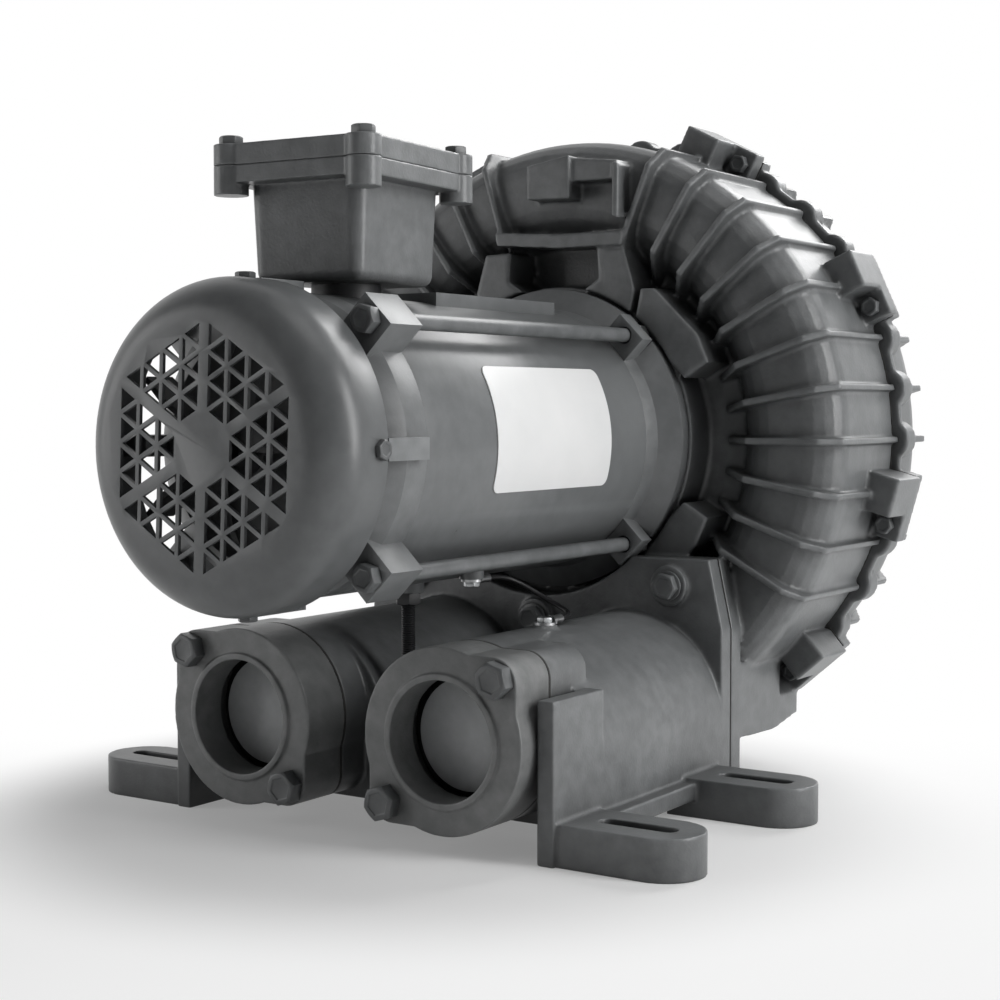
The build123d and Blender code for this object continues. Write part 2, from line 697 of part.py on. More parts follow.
def channel_ring(y, direction, reach):
    """Half-round channel section turned about the axis, open over the stripper."""
    section = Pos(CHANNEL_MEAN_R, y) * Circle(CHANNEL_R)
    section &= Pos(CHANNEL_MEAN_R, y - direction * CHANNEL_R / 2) * Rectangle(2 * CHANNEL_R, CHANNEL_R)
    run = Pos(CHANNEL_MEAN_R, y + direction * reach / 2) * Rectangle(2 * CHANNEL_R, reach)
    sweep = revolve(section + run, axis=Axis.Y, revolution_arc=360 - STRIPPER_ANGLE)
    # The arc starts at +X and runs towards -Z, so it is turned to leave the bottom closed.
    return at_angle(sweep, -90 - STRIPPER_ANGLE / 2)


def fin_plate(shell_y, direction, foot_y, foot_step, crest, step):
    """Fin at +X as a plate: outer edge from its foot over crest and knee, then back inside the wall."""
    side_r = SHELL_OUTER_R + FIN_SIDE
    front = shell_y - direction * step
    bevel_r, bevel_y = FIN_BEVEL
    middle = CHANNEL_R + HOUSING_WALL / 2
    channel_y = shell_y + direction * (CHANNEL_R + HOUSING_WALL)
    joint = JOINT_Y if direction > 0 else JOINT_Y + GASKET + RIM_THICK - MERGE
    points = [
        (FIN_FOOT_R, foot_y + direction * MERGE),
        (FIN_FOOT_R, foot_y - direction * foot_step),
        (CHANNEL_MEAN_R - crest, front),
        (side_r - bevel_r, front),
        (side_r, front + direction * bevel_y),
        (side_r, joint),
        (SHELL_OUTER_R - HOUSING_WALL / 2, joint),
        (SHELL_OUTER_R - HOUSING_WALL / 2, shell_y + direction * KNEE_R),
        (SHELL_OUTER_R - KNEE_R, shell_y + direction * HOUSING_WALL / 2),
        *channel_arc(channel_y, direction, middle, FIN_ARC),
        (CHANNEL_INNER_R - HOUSING_WALL / 2, foot_y + direction * MERGE),
    ]
    plate = extrude(make_face(Polyline(*points, close=True)), FIN_THICK)
    return Pos(0, 0, -FIN_THICK / 2) * plate


def fin_angles():
    """Angles of the front fins, with the lifting eye and the base left free."""
    pitch = 360 / FIN_COUNT
    return [FIN_FIRST + pitch * step for step in (*FIN_LOW_GROUP, *FIN_HIGH_GROUP)]


def lug_bar(outer, width, z_middle, y0, y1):
    """Part of a rim lug whose bolt is at +X."""
    return across(Pos((SHELL_OUTER_R - MERGE + outer) / 2, z_middle)
                  * Rectangle(outer - SHELL_OUTER_R + MERGE, width), y0, y1)


def lug_middle():
    """Middle of a whole lug across its bolt, which sits in the ear at one end."""
    return LUG_BLOCK_WIDTH / 2


def housing_lug():
    """Lug on the shell at +X: a long block beside the thin ear for the bolt."""
    block_middle = (LUG_EAR_WIDTH + LUG_BLOCK_WIDTH) / 2
    block = lug_bar(LUG_R, LUG_BLOCK_WIDTH, block_middle, JOINT_Y - LUG_LENGTH, JOINT_Y)
    return block + lug_bar(LUG_R, LUG_EAR_WIDTH + MERGE, MERGE / 2, JOINT_Y - LUG_EAR, JOINT_Y)


def bolt_room():
    """Room in front of the ear at +X for the bolt and its spanner."""
    ear = JOINT_Y - LUG_EAR
    room = Pos(SHELL_OUTER_R + LUG_HEIGHT + BOLT_GAP, 0) * Rectangle(2 * LUG_HEIGHT, LUG_EAR_WIDTH)
    return across(room, ear - POCKET_LENGTH, ear)


def rear_lug(y0, y1):
    """Outline of the rear cover at a lug at +X, also used for the gasket."""
    return lug_bar(LUG_R - LUG_BACK_STEP, LUG_EAR_WIDTH + LUG_BLOCK_WIDTH, lug_middle(), y0, y1)


def mount_parts():
    """Cast block and web on one side of the motor mount."""
    back = HUB_PLATE_Y + MERGE
    parts = across(ring_face(BLOCK_OUTLINE), MOUNT_Y - BLOCK_FRONT, back)
    return parts + across(ring_face(WEB_OUTLINE), MOUNT_Y - BLOCK_FRONT, back)


def lifting_eye():
    """Ledge, ribs, lintel and overhanging block of the lifting eye on top of the ring."""
    inside = CHANNEL_Y - CHANNEL_R * math.cos(math.radians(LEDGE_TURN))
    eye = across(ring_face(LEDGE_OUTLINE), SHELL_FRONT_Y - LEDGE_FRONT, inside)
    surface = SHELL_FRONT_Y + HOUSING_WALL / 2
    eye += across(ring_face(EYE_OUTLINE), SHELL_FRONT_Y - EYE_FRONT, surface)
    eye += across(ring_face(LINTEL_OUTLINE), SHELL_FRONT_Y - LINTEL_FRONT, surface)
    return eye + across(ring_face(RIB_OUTLINE), SHELL_FRONT_Y - RIB_FRONT, surface)


def duct_legs():
    """Solid legs that carry the two ducts from the foot into the ring."""
    foot_plate = Pos(0, -AXIS_HEIGHT) * base_flange_outline()
    legs = across(foot_plate, HOUSING_BACK_Y, HOUSING_BACK_Y + HOUSING_FOOT)
    reach = HOUSING_BACK_Y + HOUSING_FOOT + HOUSING_FOOT_DEPTH
    for side in SIDES:
        legs += bar(DUCT_R + DUCT_WALL, HOUSING_BACK_Y, reach, side * PORT_X, PORT_HEIGHT - AXIS_HEIGHT)
        legs += flank(side)
    return legs


def flank(side):
    """Side wall that runs on from the base under the ring."""
    low = [(HOUSING_BACK_Y + run, BASE_LIFT + rise) for run, rise in FLANK_PATH]
    inner_x = BASE_HALF_WIDTH - FLANK_THICK
    top = AXIS_HEIGHT - math.sqrt((BORE_R + HOUSING_WALL / 2) ** 2 - BASE_HALF_WIDTH**2)
    end_y = low[-1][0]
    outline = make_face(Polyline(*low, (end_y, top), (HOUSING_BACK_Y, top), close=True))
    wall = extrude(Plane.YZ.offset(inner_x) * outline, FLANK_THICK)
    if side < 0:
        wall = mirror(wall, about=Plane.YZ)
    return Pos(0, 0, -AXIS_HEIGHT) * wall


def blower_housing():
    """Finned front half of the ring housing with foot, lugs and motor mount."""
    body = housing_shell()
    body += duct_legs()
    mount = mount_parts()
    mount += mirror(mount, about=Plane.YZ)
    body += mount + mirror(mount, about=Plane.XY)
    body += lifting_eye()
    fin = fin_plate(SHELL_FRONT_Y, 1, HUB_PLATE_Y, FIN_FOOT, FIN_CREST, FIN_FRONT)
    body += around(fin, fin_angles())
    body += around(housing_lug(), LUG_ANGLES)
    body -= around(bolt_room(), LUG_ANGLES)
    body -= bar(BORE_R, IMPELLER_Y - RUN_GAP, JOINT_Y + MERGE)
    body -= bar(FACE_INNER_R, HUB_PLATE_Y + HUB_PLATE, JOINT_Y + MERGE)
    body -= bar(REGISTER_R, MOUNT_Y - 3 * BLOCK_FRONT, HUB_PLATE_Y)
    body -= bar(MOUNT_R, MOUNT_Y - 3 * BLOCK_FRONT, MOUNT_Y)
    body -= channel_ring(CHANNEL_Y, 1, SIDE_RUN + MERGE)
    duct_end = CHANNEL_Y - CHANNEL_R / 2
    for side in SIDES:
        body -= bar(DUCT_R, HOUSING_BACK_Y - MERGE, duct_end, side * PORT_X, PORT_HEIGHT - AXIS_HEIGHT)
    for x, z in base_bolt_places():
        end = HOUSING_BACK_Y + HOUSING_FOOT - MERGE
        body -= bar(BASE_BOLT[0] + SEAT_GAP, HOUSING_BACK_Y - MERGE, end, x, z - AXIS_HEIGHT)
    bolt_hole = bar(COVER_BOLT[0] + BOLT_GAP, JOINT_Y - LUG_EAR - MERGE, JOINT_Y + MERGE, LUG_BOLT_R, 0)
    body -= around(bolt_hole, LUG_ANGLES)
    body -= around(motor_bolt_hole(MOUNT_Y - MERGE, HUB_PLATE_Y + HUB_PLATE + MERGE), MOTOR_BOLT_ANGLES)
    return lift(body)


def motor_bolt_hole(y0, y1):
    """Clearance hole of a motor bolt at +X."""
    return bar(MOTOR_BOLT[0] + BOLT_GAP, y0, y1, MOTOR_BOLT_R, 0)


def rear_profile():
    """Outline of the rear cover as (radius, y)."""
    outside = CHANNEL_R + HOUSING_WALL
    inner_front = IMPELLER_END_Y + RUN_GAP
    plate_back = COVER_PLATE_Y + HUB_PLATE
    low_turn = math.degrees(math.acos((plate_back - REAR_CHANNEL_Y) / outside))
    return [
        (0, COVER_PLATE_Y),
        (FACE_INNER_R, COVER_PLATE_Y),
        (FACE_INNER_R, inner_front),
        (BORE_R, inner_front),
        (BORE_R, JOINT_Y + GASKET),
        (RIM_R, JOINT_Y + GASKET),
        (RIM_R, JOINT_Y + GASKET + RIM_THICK),
        (SHELL_OUTER_R, JOINT_Y + GASKET + RIM_THICK),
        *reversed(knee(SHELL_OUTER_R, REAR_SHELL_Y, -1, KNEE_R)),
        *channel_arc(REAR_CHANNEL_Y, -1, outside, [low_turn * share for share in ARC_SHARES]),
        (COVER_HUB_R, plate_back),
        (COVER_HUB_R, plate_back + COVER_BOSS),
        (0, plate_back + COVER_BOSS),
    ]


def rear_cover():
    """Rear half of the ring housing with radial fins, rounded lobes and bolt lugs."""
    body = turned(rear_profile())
    pitch = 360 / FIN_COUNT
    rib_top = COVER_PLATE_Y + HUB_PLATE + COVER_RIB
    start = JOINT_Y + GASKET
    fin = fin_plate(REAR_SHELL_Y, -1, COVER_PLATE_Y + HUB_PLATE, COVER_RIB, FIN_CREST, REAR_FIN_STEP)
    lobe = bar(LOBE_R, start, start + LOBE_LENGTH, SHELL_OUTER_R + LOBE_TIP - LOBE_R)
    body += around(fin + lobe, [FIN_FIRST + pitch * step for step in range(FIN_COUNT)])
    rib = spoke_box(0, FIN_FOOT_R + 2 * MERGE, FIN_THICK, COVER_PLATE_Y + HUB_PLATE - MERGE, rib_top)
    # Each rib runs on from a fin, so that their sides lie in one plane.
    body += around(rib, [FIN_FIRST + pitch * RIB_STEP * step for step in range(RIB_COUNT)])
    body += around(rear_lug(start, start + LUG_BACK), LUG_ANGLES)
    body -= bar(BORE_R, JOINT_Y, IMPELLER_END_Y + RUN_GAP)
    body -= channel_ring(REAR_CHANNEL_Y, -1, SIDE_RUN + MERGE)
    hole = bar(COVER_BOLT[0] + SEAT_GAP, JOINT_Y, start + LUG_BACK - 2 * MERGE, LUG_BOLT_R, 0)
    body -= around(hole, LUG_ANGLES)
    return lift(body)


def cover_gasket():
    """Thin ring between housing and rear cover."""
    seal = ring(SHELL_OUTER_R, BORE_R, JOINT_Y, JOINT_Y + GASKET)
    seal += around(rear_lug(JOINT_Y, JOINT_Y + GASKET), LUG_ANGLES)
    hole = bar(COVER_BOLT[0] + BOLT_GAP, JOINT_Y - MERGE, JOINT_Y + GASKET + MERGE, LUG_BOLT_R, 0)
    return lift(seal - around(hole, LUG_ANGLES))


def cover_bolts():
    """Bolts through the rim lugs, heads in the housing pockets."""
    seat = JOINT_Y - LUG_EAR
    length = LUG_EAR + GASKET + LUG_BACK - 4 * MERGE
    bolt = bolt_along_y(COVER_BOLT, seat, length, LUG_BOLT_R, 0)
    return [lift(copy) for copy in around(bolt, LUG_ANGLES)]


def impeller():
    """Side channel wheel: hub, web and a ring of blades in two cups."""
    tip_low = IMPELLER_MID_Y - BLADE_TIP_WEB / 2
    tip_high = IMPELLER_MID_Y + BLADE_TIP_WEB / 2
    depth = tip_low - IMPELLER_Y
    lower = [
        (IMPELLER_CUP_R + (IMPELLER_R - IMPELLER_CUP_R) * step / CUP_POINTS,
         IMPELLER_Y + depth * math.sqrt(1 - (1 - step / CUP_POINTS) ** 2))
        for step in range(CUP_POINTS + 1)
    ]
    upper = [(r, 2 * IMPELLER_MID_Y - y) for r, y in reversed(lower)]
    web = IMPELLER_WEB / 2
    hub = IMPELLER_HUB_LENGTH / 2
    outline = [
        (IMPELLER_SHAFT_R + SEAT_GAP, IMPELLER_MID_Y - hub),
        (IMPELLER_HUB_R, IMPELLER_MID_Y - hub),
        (IMPELLER_HUB_R + IMPELLER_HUB_SLOPE, IMPELLER_MID_Y - web),
        (IMPELLER_INNER_R - IMPELLER_RIM_SLOPE, IMPELLER_MID_Y - web),
        (IMPELLER_INNER_R, IMPELLER_Y),
        *lower,
        *upper,
        (IMPELLER_INNER_R, IMPELLER_END_Y),
        (IMPELLER_INNER_R - IMPELLER_RIM_SLOPE, IMPELLER_MID_Y + web),
        (IMPELLER_HUB_R + IMPELLER_HUB_SLOPE, IMPELLER_MID_Y + web),
        (IMPELLER_HUB_R, IMPELLER_MID_Y + hub),
        (IMPELLER_SHAFT_R + SEAT_GAP, IMPELLER_MID_Y + hub),
    ]
    wheel = turned(outline)
    blade = spoke_box(IMPELLER_CUP_R + MERGE, IMPELLER_R, BLADE_THICK, IMPELLER_Y, IMPELLER_END_Y)
    wheel += around(blade, [360 / BLADE_COUNT * step for step in range(BLADE_COUNT)])
    wheel -= key_block(SEAT_GAP)
    return lift(wheel)


def key_block(extra=0.0):
    """Parallel key between shaft and impeller, larger by extra for its keyway."""
    reach = IMPELLER_HUB_LENGTH / 2 - KEY_SETBACK + extra
    top = IMPELLER_SHAFT_R + KEY_HEIGHT / 2 + extra
    bottom = IMPELLER_SHAFT_R - KEY_HEIGHT / 2 - extra
    slab = Pos(0, (top + bottom) / 2) * Rectangle(KEY_WIDTH + 2 * extra, top - bottom)
    return across(slab, IMPELLER_MID_Y - reach, IMPELLER_MID_Y + reach)


def shaft_end_y():
    """End of the shaft, just inside the impeller hub."""
    return IMPELLER_MID_Y + IMPELLER_HUB_LENGTH / 2 - 1.0


def shaft():
    """Motor shaft with steps for both bearings, seal, impeller and cooling fan."""
    fan_bore, _, fan_width, _, _ = FAN_BEARING
    drive_bore, _, drive_width, _, _ = DRIVE_BEARING
    fan_seat = FAN_BEARING_Y + fan_width
    drive_seat = DRIVE_BEARING_Y + drive_width
    outline = [
        (0, COVER_Y + FAN_SETBACK + 1.0),
        (FAN_STUB_R, COVER_Y + FAN_SETBACK + 1.0),
        (FAN_STUB_R, FAN_BEARING_Y - 1.0),
        (fan_bore, FAN_BEARING_Y - 1.0),
        (fan_bore, fan_seat),
        (fan_bore + SHOULDER, fan_seat),
        (fan_bore + SHOULDER, fan_seat + SHAFT_COLLAR),
        (SHAFT_R, fan_seat + SHAFT_COLLAR),
        (SHAFT_R, DRIVE_BEARING_Y),
        (drive_bore, DRIVE_BEARING_Y),
        (drive_bore, drive_seat + 2 * MERGE),
        (IMPELLER_SHAFT_R, drive_seat + 2 * MERGE),
        (IMPELLER_SHAFT_R, shaft_end_y()),
        (0, shaft_end_y()),
    ]
    body = turned(outline)
    body -= key_block(SEAT_GAP)
    end = shaft_end_y()
    body -= bar(IMPELLER_BOLT[0] + SEAT_GAP, end - IMPELLER_BOLT_LENGTH - MERGE, end + MERGE)
    return lift(body)


def impeller_washer():
    """Thick washer that clamps the impeller hub."""
    seat = IMPELLER_MID_Y + IMPELLER_HUB_LENGTH / 2
    outer = IMPELLER_SHAFT_R + WASHER_STEP
    return lift(ring(outer, IMPELLER_BOLT[0] + BOLT_GAP, seat, seat + 2 * WASHER_THICK))


def impeller_bolt():
    """Bolt in the shaft end that holds the impeller."""
    seat = IMPELLER_MID_Y + IMPELLER_HUB_LENGTH / 2 + 2 * WASHER_THICK
    return lift(bolt_along_y(IMPELLER_BOLT, seat, IMPELLER_BOLT_LENGTH, 0, 0, forward=-1))


def shaft_seal():
    """Seal ring in the hub wall, its lip just clear of the shaft."""
    start = HUB_PLATE_Y + (HUB_PLATE - SEAL_WIDTH) / 2
    return lift(ring(SEAL_R, IMPELLER_SHAFT_R + BALL_GAP, start, start + SEAL_WIDTH))


def bearing(size, y):
    """Outer race, inner race and balls of one deep groove bearing."""
    bore, outside, width, ball, count = size
    mean = (bore + outside) / 2
    groove = ball + BALL_GAP
    middle = y + width / 2
    track = revolve(Pos(mean, middle) * Circle(groove), axis=Axis.Y)
    outer = ring(outside, mean + ball * BALL_LAND, y, y + width) - track
    inner = ring(mean - ball * BALL_LAND, bore + SEAT_GAP / 2, y, y + width) - track
    balls = around(Pos(mean, middle, 0) * Sphere(ball), [360 / count * step for step in range(count)])
    return lift(outer), lift(inner), [lift(sphere) for sphere in balls]


def rotor_core():
    """Laminated rotor pack on the shaft."""
    half = STATOR_LENGTH / 2
    return lift(ring(ROTOR_R, SHAFT_R + SEAT_GAP / 2, CORE_MID_Y - half, CORE_MID_Y + half))


def rotor_rings():
    """Cast end rings of the rotor cage."""
    half = STATOR_LENGTH / 2
    front = ring(ROTOR_R - MERGE, ROTOR_R - CAGE_DEPTH, CORE_MID_Y - half - CAGE_RING, CORE_MID_Y - half)
    back = ring(ROTOR_R - MERGE, ROTOR_R - CAGE_DEPTH, CORE_MID_Y + half, CORE_MID_Y + half + CAGE_RING)
    return [lift(front), lift(back)]


def stator_core():
    """Stator pack pressed into the motor shell."""
    half = STATOR_LENGTH / 2
    return lift(ring(SHELL_BORE_R, ROTOR_R + AIR_GAP, CORE_MID_Y - half, CORE_MID_Y + half))


def windings():
    """End turns of the winding on both faces of the stator."""
    half = STATOR_LENGTH / 2
    inner, outer = WINDING_R
    front = ring(outer, inner, CORE_MID_Y - half - WINDING_LENGTH, CORE_MID_Y - half)
    back = ring(outer, inner, CORE_MID_Y + half, CORE_MID_Y + half + WINDING_LENGTH)
    rounded = []
    for coil in (front, back):
        rounded.append(lift(fillet(coil.edges().filter_by(GeomType.CIRCLE), COIL_ROUND)))
    return rounded


def motor_shell():
    """Rolled motor frame with a flat pad on top and the stud boss below."""
    shell = bar(SHELL_R, SHELL_Y, DRIVE_Y)
    start, end = SHELL_PAD_Y
    pad = Pos(0, SHELL_PAD_TOP - SHELL_R / 4) * Rectangle(SHELL_PAD_WIDTH, SHELL_R / 2)
    shell += across(pad, start, end)
    boss = Pos(0, BRIDGE_Y, 0) * upright(Circle(STUD_BOSS_R), -SHELL_R - STUD_BOSS, -SHELL_BORE_R - MERGE)
    shell += boss
    lead_x, lead_y, lead_z = LEAD_TOP
    lead_z -= AXIS_HEIGHT
    shell += Pos(lead_x, lead_y, 0) * upright(Circle(LEAD_BOSS_R), lead_z, lead_z + LEAD_BOSS_R)
    lead_hole = upright(Circle(LEAD_SCREW[0] + SEAT_GAP), lead_z - MERGE, lead_z + 4 * MERGE)
    shell -= Pos(lead_x, lead_y, 0) * lead_hole
    shell -= bar(SHELL_BORE_R, SHELL_Y - MERGE, DRIVE_Y + MERGE)
    neck_hole = upright(Circle(NIPPLE_R + SEAT_GAP), SHELL_BORE_R / 2, SHELL_PAD_TOP + MERGE)
    shell -= Pos(BOX_X, BOX_Y, 0) * neck_hole
    return lift(shell)


def fan_end_bracket():
    """Domed bracket with bearing seat, four rod ears and four cover pads."""
    bore, outside, width, _, _ = FAN_BEARING
    seat = outside + SEAT_GAP / 2
    front = FAN_BRACKET_Y + DOME_SETBACK
    dome = [
        (FAN_STUB_R + MERGE, front),
        (SHELL_R - DOME_STEPS[1], front),
        (SHELL_R - DOME_STEPS[0], front + DOME_RISE),
        (SHELL_R, front + DOME_DEPTH),
        (SHELL_R, SHELL_Y),
        (SHELL_BORE_R - SEAT_GAP, SHELL_Y),
        (SHELL_BORE_R - SEAT_GAP, SHELL_Y + SPIGOT),
        (SHELL_BORE_R - BRACKET_WALL, SHELL_Y + SPIGOT),
        (SHELL_BORE_R - BRACKET_WALL, front + DOME_DEPTH + 2 * MERGE),
        (SHELL_BORE_R - BRACKET_WALL - MERGE / 2, front + DOME_RISE + 4 * MERGE),
        (SHELL_BORE_R - DOME_INNER_STEP, front + BRACKET_WALL),
        (seat + BRACKET_WALL, front + BRACKET_WALL),
        (seat + BRACKET_WALL, FAN_BEARING_Y + width),
        (seat, FAN_BEARING_Y + width),
        (seat, FAN_BEARING_Y - WAVE_WASHER),
        (FAN_STUB_R + MERGE, FAN_BEARING_Y - WAVE_WASHER),
    ]
    body = turned(dome)
    inner_cover = COVER_R - COVER_WALL - BOLT_GAP
    pad_root = SHELL_BORE_R - PAD_ROOT
    pad_end = FAN_BRACKET_Y + PAD_LENGTH
    pad = spoke_box(pad_root, inner_cover, PAD_WIDTH, FAN_BRACKET_Y - PAD_REACH, pad_end)
    pad += spoke_box(SHELL_BORE_R + MERGE, PAD_R, PAD_WIDTH, FAN_BRACKET_Y + SEAT_GAP, pad_end)
    body += around(pad, (0, 90, 180, 270))
    ear = spoke_box(SHELL_BORE_R - 2 * MERGE, EAR_R, EAR_WIDTH, SHELL_Y - EAR_LENGTH, SHELL_Y)
    body += around(ear, ROD_ANGLES)
    body -= bar(SHELL_BORE_R - BRACKET_WALL, front + DOME_DEPTH + 2 * MERGE, SHELL_Y + SPIGOT)
    rod_hole = bar(THROUGH_BOLT[0] + BOLT_GAP, FAN_BRACKET_Y, SHELL_Y + MERGE, ROD_R, 0)
    body -= around(rod_hole, ROD_ANGLES)
    body -= around(cover_screw_hole(), (0, 90, 180, 270))
    return lift(body)


def cover_screw_y():
    """Place of the cover screws along the axis."""
    return FAN_BRACKET_Y - NOTCH_DEPTH / 2 - 1.0


def cover_screw_hole():
    """Tapped hole for a cover screw at +X."""
    circle = Pos(cover_screw_y(), 0) * Circle(SMALL_SCREW[0] + SEAT_GAP)
    hole = Plane.YZ.offset(COVER_R - SCREW_REACH) * circle
    return extrude(hole, 2 * SCREW_REACH)


def cover_screws():
    """Four radial screws that hold the fan cover."""
    shank, flats, head = SMALL_SCREW
    place = Pos(cover_screw_y(), 0)
    stem = extrude(Plane.YZ.offset(COVER_R - SCREW_LENGTH) * (place * Circle(shank)), SCREW_LENGTH)
    cap = extrude(Plane.YZ.offset(COVER_R) * (place * hexagon(flats)), head)
    return [lift(copy) for copy in around(stem + cap, (0, 90, 180, 270))]


def drive_end_bracket():
    """Drive end bracket with bearing seat, mounting face, register and rod ears."""
    bore, outside, width, _, _ = DRIVE_BEARING
    seat = outside + SEAT_GAP / 2
    outline = [
        (bore + DRIVE_BORE_STEP, MOUNT_Y + REGISTER_DEPTH),
        (bore + DRIVE_BORE_STEP, DRIVE_BEARING_Y + width),
        (seat, DRIVE_BEARING_Y + width),
        (seat, DRIVE_BEARING_Y),
        (seat + BRACKET_WALL, DRIVE_BEARING_Y),
        (seat + BRACKET_WALL, MOUNT_Y - DRIVE_PLATE),
        (REGISTER_R - MERGE, MOUNT_Y - DRIVE_PLATE),
        (SHELL_BORE_R - BRACKET_WALL, DRIVE_Y),
        (SHELL_BORE_R - BRACKET_WALL, DRIVE_Y - SPIGOT),
        (SHELL_BORE_R - SEAT_GAP, DRIVE_Y - SPIGOT),
        (SHELL_BORE_R - SEAT_GAP, DRIVE_Y),
        (SHELL_R, DRIVE_Y),
        (SHELL_R + MOUNT_INSET, DRIVE_Y + DRIVE_PLATE),
        (MOUNT_R - MOUNT_INSET, MOUNT_Y - MOUNT_EDGE),
        (MOUNT_R - MOUNT_INSET, MOUNT_Y),
        (REGISTER_R - SEAT_GAP, MOUNT_Y),
        (REGISTER_R - SEAT_GAP, MOUNT_Y + REGISTER_DEPTH),
    ]
    body = turned(outline)
    ear = spoke_box(SHELL_BORE_R, EAR_R, EAR_WIDTH, DRIVE_Y, DRIVE_Y + DRIVE_EAR_LENGTH)
    body += around(ear, ROD_ANGLES)
    rod_hole = bar(THROUGH_BOLT[0] + BOLT_GAP, DRIVE_Y - MERGE, DRIVE_Y + DRIVE_EAR_LENGTH + MERGE, ROD_R, 0)
    body -= around(rod_hole, ROD_ANGLES)
    nut_room = bar(THROUGH_BOLT[1] / 2 + NUT_ROOM, DRIVE_Y + DRIVE_EAR_LENGTH, MOUNT_Y + MERGE, ROD_R, 0)
    body -= around(nut_room, ROD_ANGLES)
    tapped = bar(MOTOR_BOLT[0] + SEAT_GAP, MOUNT_Y - MOTOR_TAP_DEPTH, MOUNT_Y + MERGE, MOTOR_BOLT_R, 0)
    body -= around(tapped, MOTOR_BOLT_ANGLES)
    return lift(body)


def through_bolts():
    """Four long rods that clamp the motor together."""
    seat = SHELL_Y - EAR_LENGTH
    length = EAR_LENGTH + SHELL_LENGTH + DRIVE_EAR_LENGTH + ROD_END
    bolt = bolt_along_y(THROUGH_BOLT, seat, length, ROD_R, 0)
    return [lift(copy) for copy in around(bolt, ROD_ANGLES)]


def through_nuts():
    """Nuts on the drive end of the rods."""
    shank, flats, head = THROUGH_BOLT
    seat = DRIVE_Y + DRIVE_EAR_LENGTH
    nut = across(Pos(ROD_R, 0) * hexagon(flats), seat, seat + head)
    nut -= bar(shank + SEAT_GAP, seat - MERGE, seat + head + MERGE, ROD_R, 0)
    return [lift(copy) for copy in around(nut, ROD_ANGLES)]


def motor_bolts():
    """Bolts from inside the housing into the motor face."""
    seat = HUB_PLATE_Y + HUB_PLATE
    length = seat - MOUNT_Y + MOTOR_BOLT_GRIP
    bolt = bolt_along_y(MOTOR_BOLT, seat, length, MOTOR_BOLT_R, 0, forward=-1)
    return [lift(copy) for copy in around(bolt, MOTOR_BOLT_ANGLES)]


def wave_washer():
    """Spring washer that loads the fan end bearing."""
    outer = FAN_BEARING[1] - 0.5
    return lift(ring(outer, outer - WAVE_WIDTH, FAN_BEARING_Y - WAVE_WASHER, FAN_BEARING_Y))


def label():
    """Thin curved plate on the motor frame, left blank."""
    start, end = LABEL_Y
    low, high = LABEL_ANGLES
    middle = Pos(SHELL_R + SEAT_GAP + LABEL_THICK / 2, (start + end) / 2)
    outline = middle * Rectangle(LABEL_THICK, end - start)
    plate = revolve(outline, axis=Axis.Y, revolution_arc=high - low)
    return lift(at_angle(plate, high))


def triangle_hole(u, v, flip):
    """Triangular hole of the grille at (u, v), apex towards the centre unless flipped."""
    size = GRILLE_PITCH / math.sqrt(3) - GRILLE_BAR
    points = []
    for corner in (0, 120, 240):
        angle = math.radians(corner if flip else corner + 180)
        points.append((u + size * math.cos(angle), v + size * math.sin(angle)))
    return points


def grille_sector():
    """Corner points of all the holes in one sixth of the grille."""
    height = GRILLE_PITCH * math.sqrt(3) / 2
    start = GRILLE_SPOKE - GRILLE_BAR
    holes = []
    for row in range(1, GRILLE_ROWS):
        inner = start + row * height
        for step in range(row + 1):
            holes.append(triangle_hole(inner + height * 2 / 3, (step - row / 2) * GRILLE_PITCH, False))
        for step in range(row):
            holes.append(triangle_hole(inner + height / 3, (step - (row - 1) / 2) * GRILLE_PITCH, True))
    return holes


def grille_cutter():
    """All the grille holes as one set of prisms through the front wall."""
    faces = Sketch() + [make_face(Polyline(*points, close=True)) for points in grille_sector()]
    prisms = across(faces, COVER_Y - MERGE, COVER_Y + COVER_WALL + MERGE)
    return around(prisms, [GRILLE_TURN + 60 * step for step in range(6)])


def fan_cover():
    """Deep drawn cover with a rounded front, grille and four screw notches."""
    inner_round = COVER_ROUND - COVER_WALL
    inner_r = COVER_R - COVER_WALL
    face_y = COVER_Y
    outer = Polyline((0, face_y), (COVER_R - COVER_ROUND, face_y))
    outer += RadiusArc((COVER_R - COVER_ROUND, face_y), (COVER_R, face_y + COVER_ROUND), -COVER_ROUND)
    outer += Polyline((COVER_R, face_y + COVER_ROUND), (COVER_R, FAN_BRACKET_Y), (inner_r, FAN_BRACKET_Y),
                      (inner_r, face_y + COVER_ROUND))
    inner_end = (COVER_R - COVER_ROUND, face_y + COVER_WALL)
    outer += RadiusArc((inner_r, face_y + COVER_ROUND), inner_end, inner_round)
    outer += Polyline((COVER_R - COVER_ROUND, face_y + COVER_WALL), (0, face_y + COVER_WALL), (0, face_y))
    cover = revolve(make_face(outer), axis=Axis.Y)
    cover -= grille_cutter()
    middle = cover_screw_y()
    notch = Pos(middle, 0) * Circle(NOTCH_WIDTH / 2)
    notch += Pos(middle + NOTCH_DEPTH / 2, 0) * Rectangle(NOTCH_DEPTH, NOTCH_WIDTH)
    cutter = extrude(Plane.YZ.offset(COVER_R - NOTCH_REACH) * notch, 2 * NOTCH_REACH)
    cover -= around(cutter, (0, 90, 180, 270))
    return lift(cover)


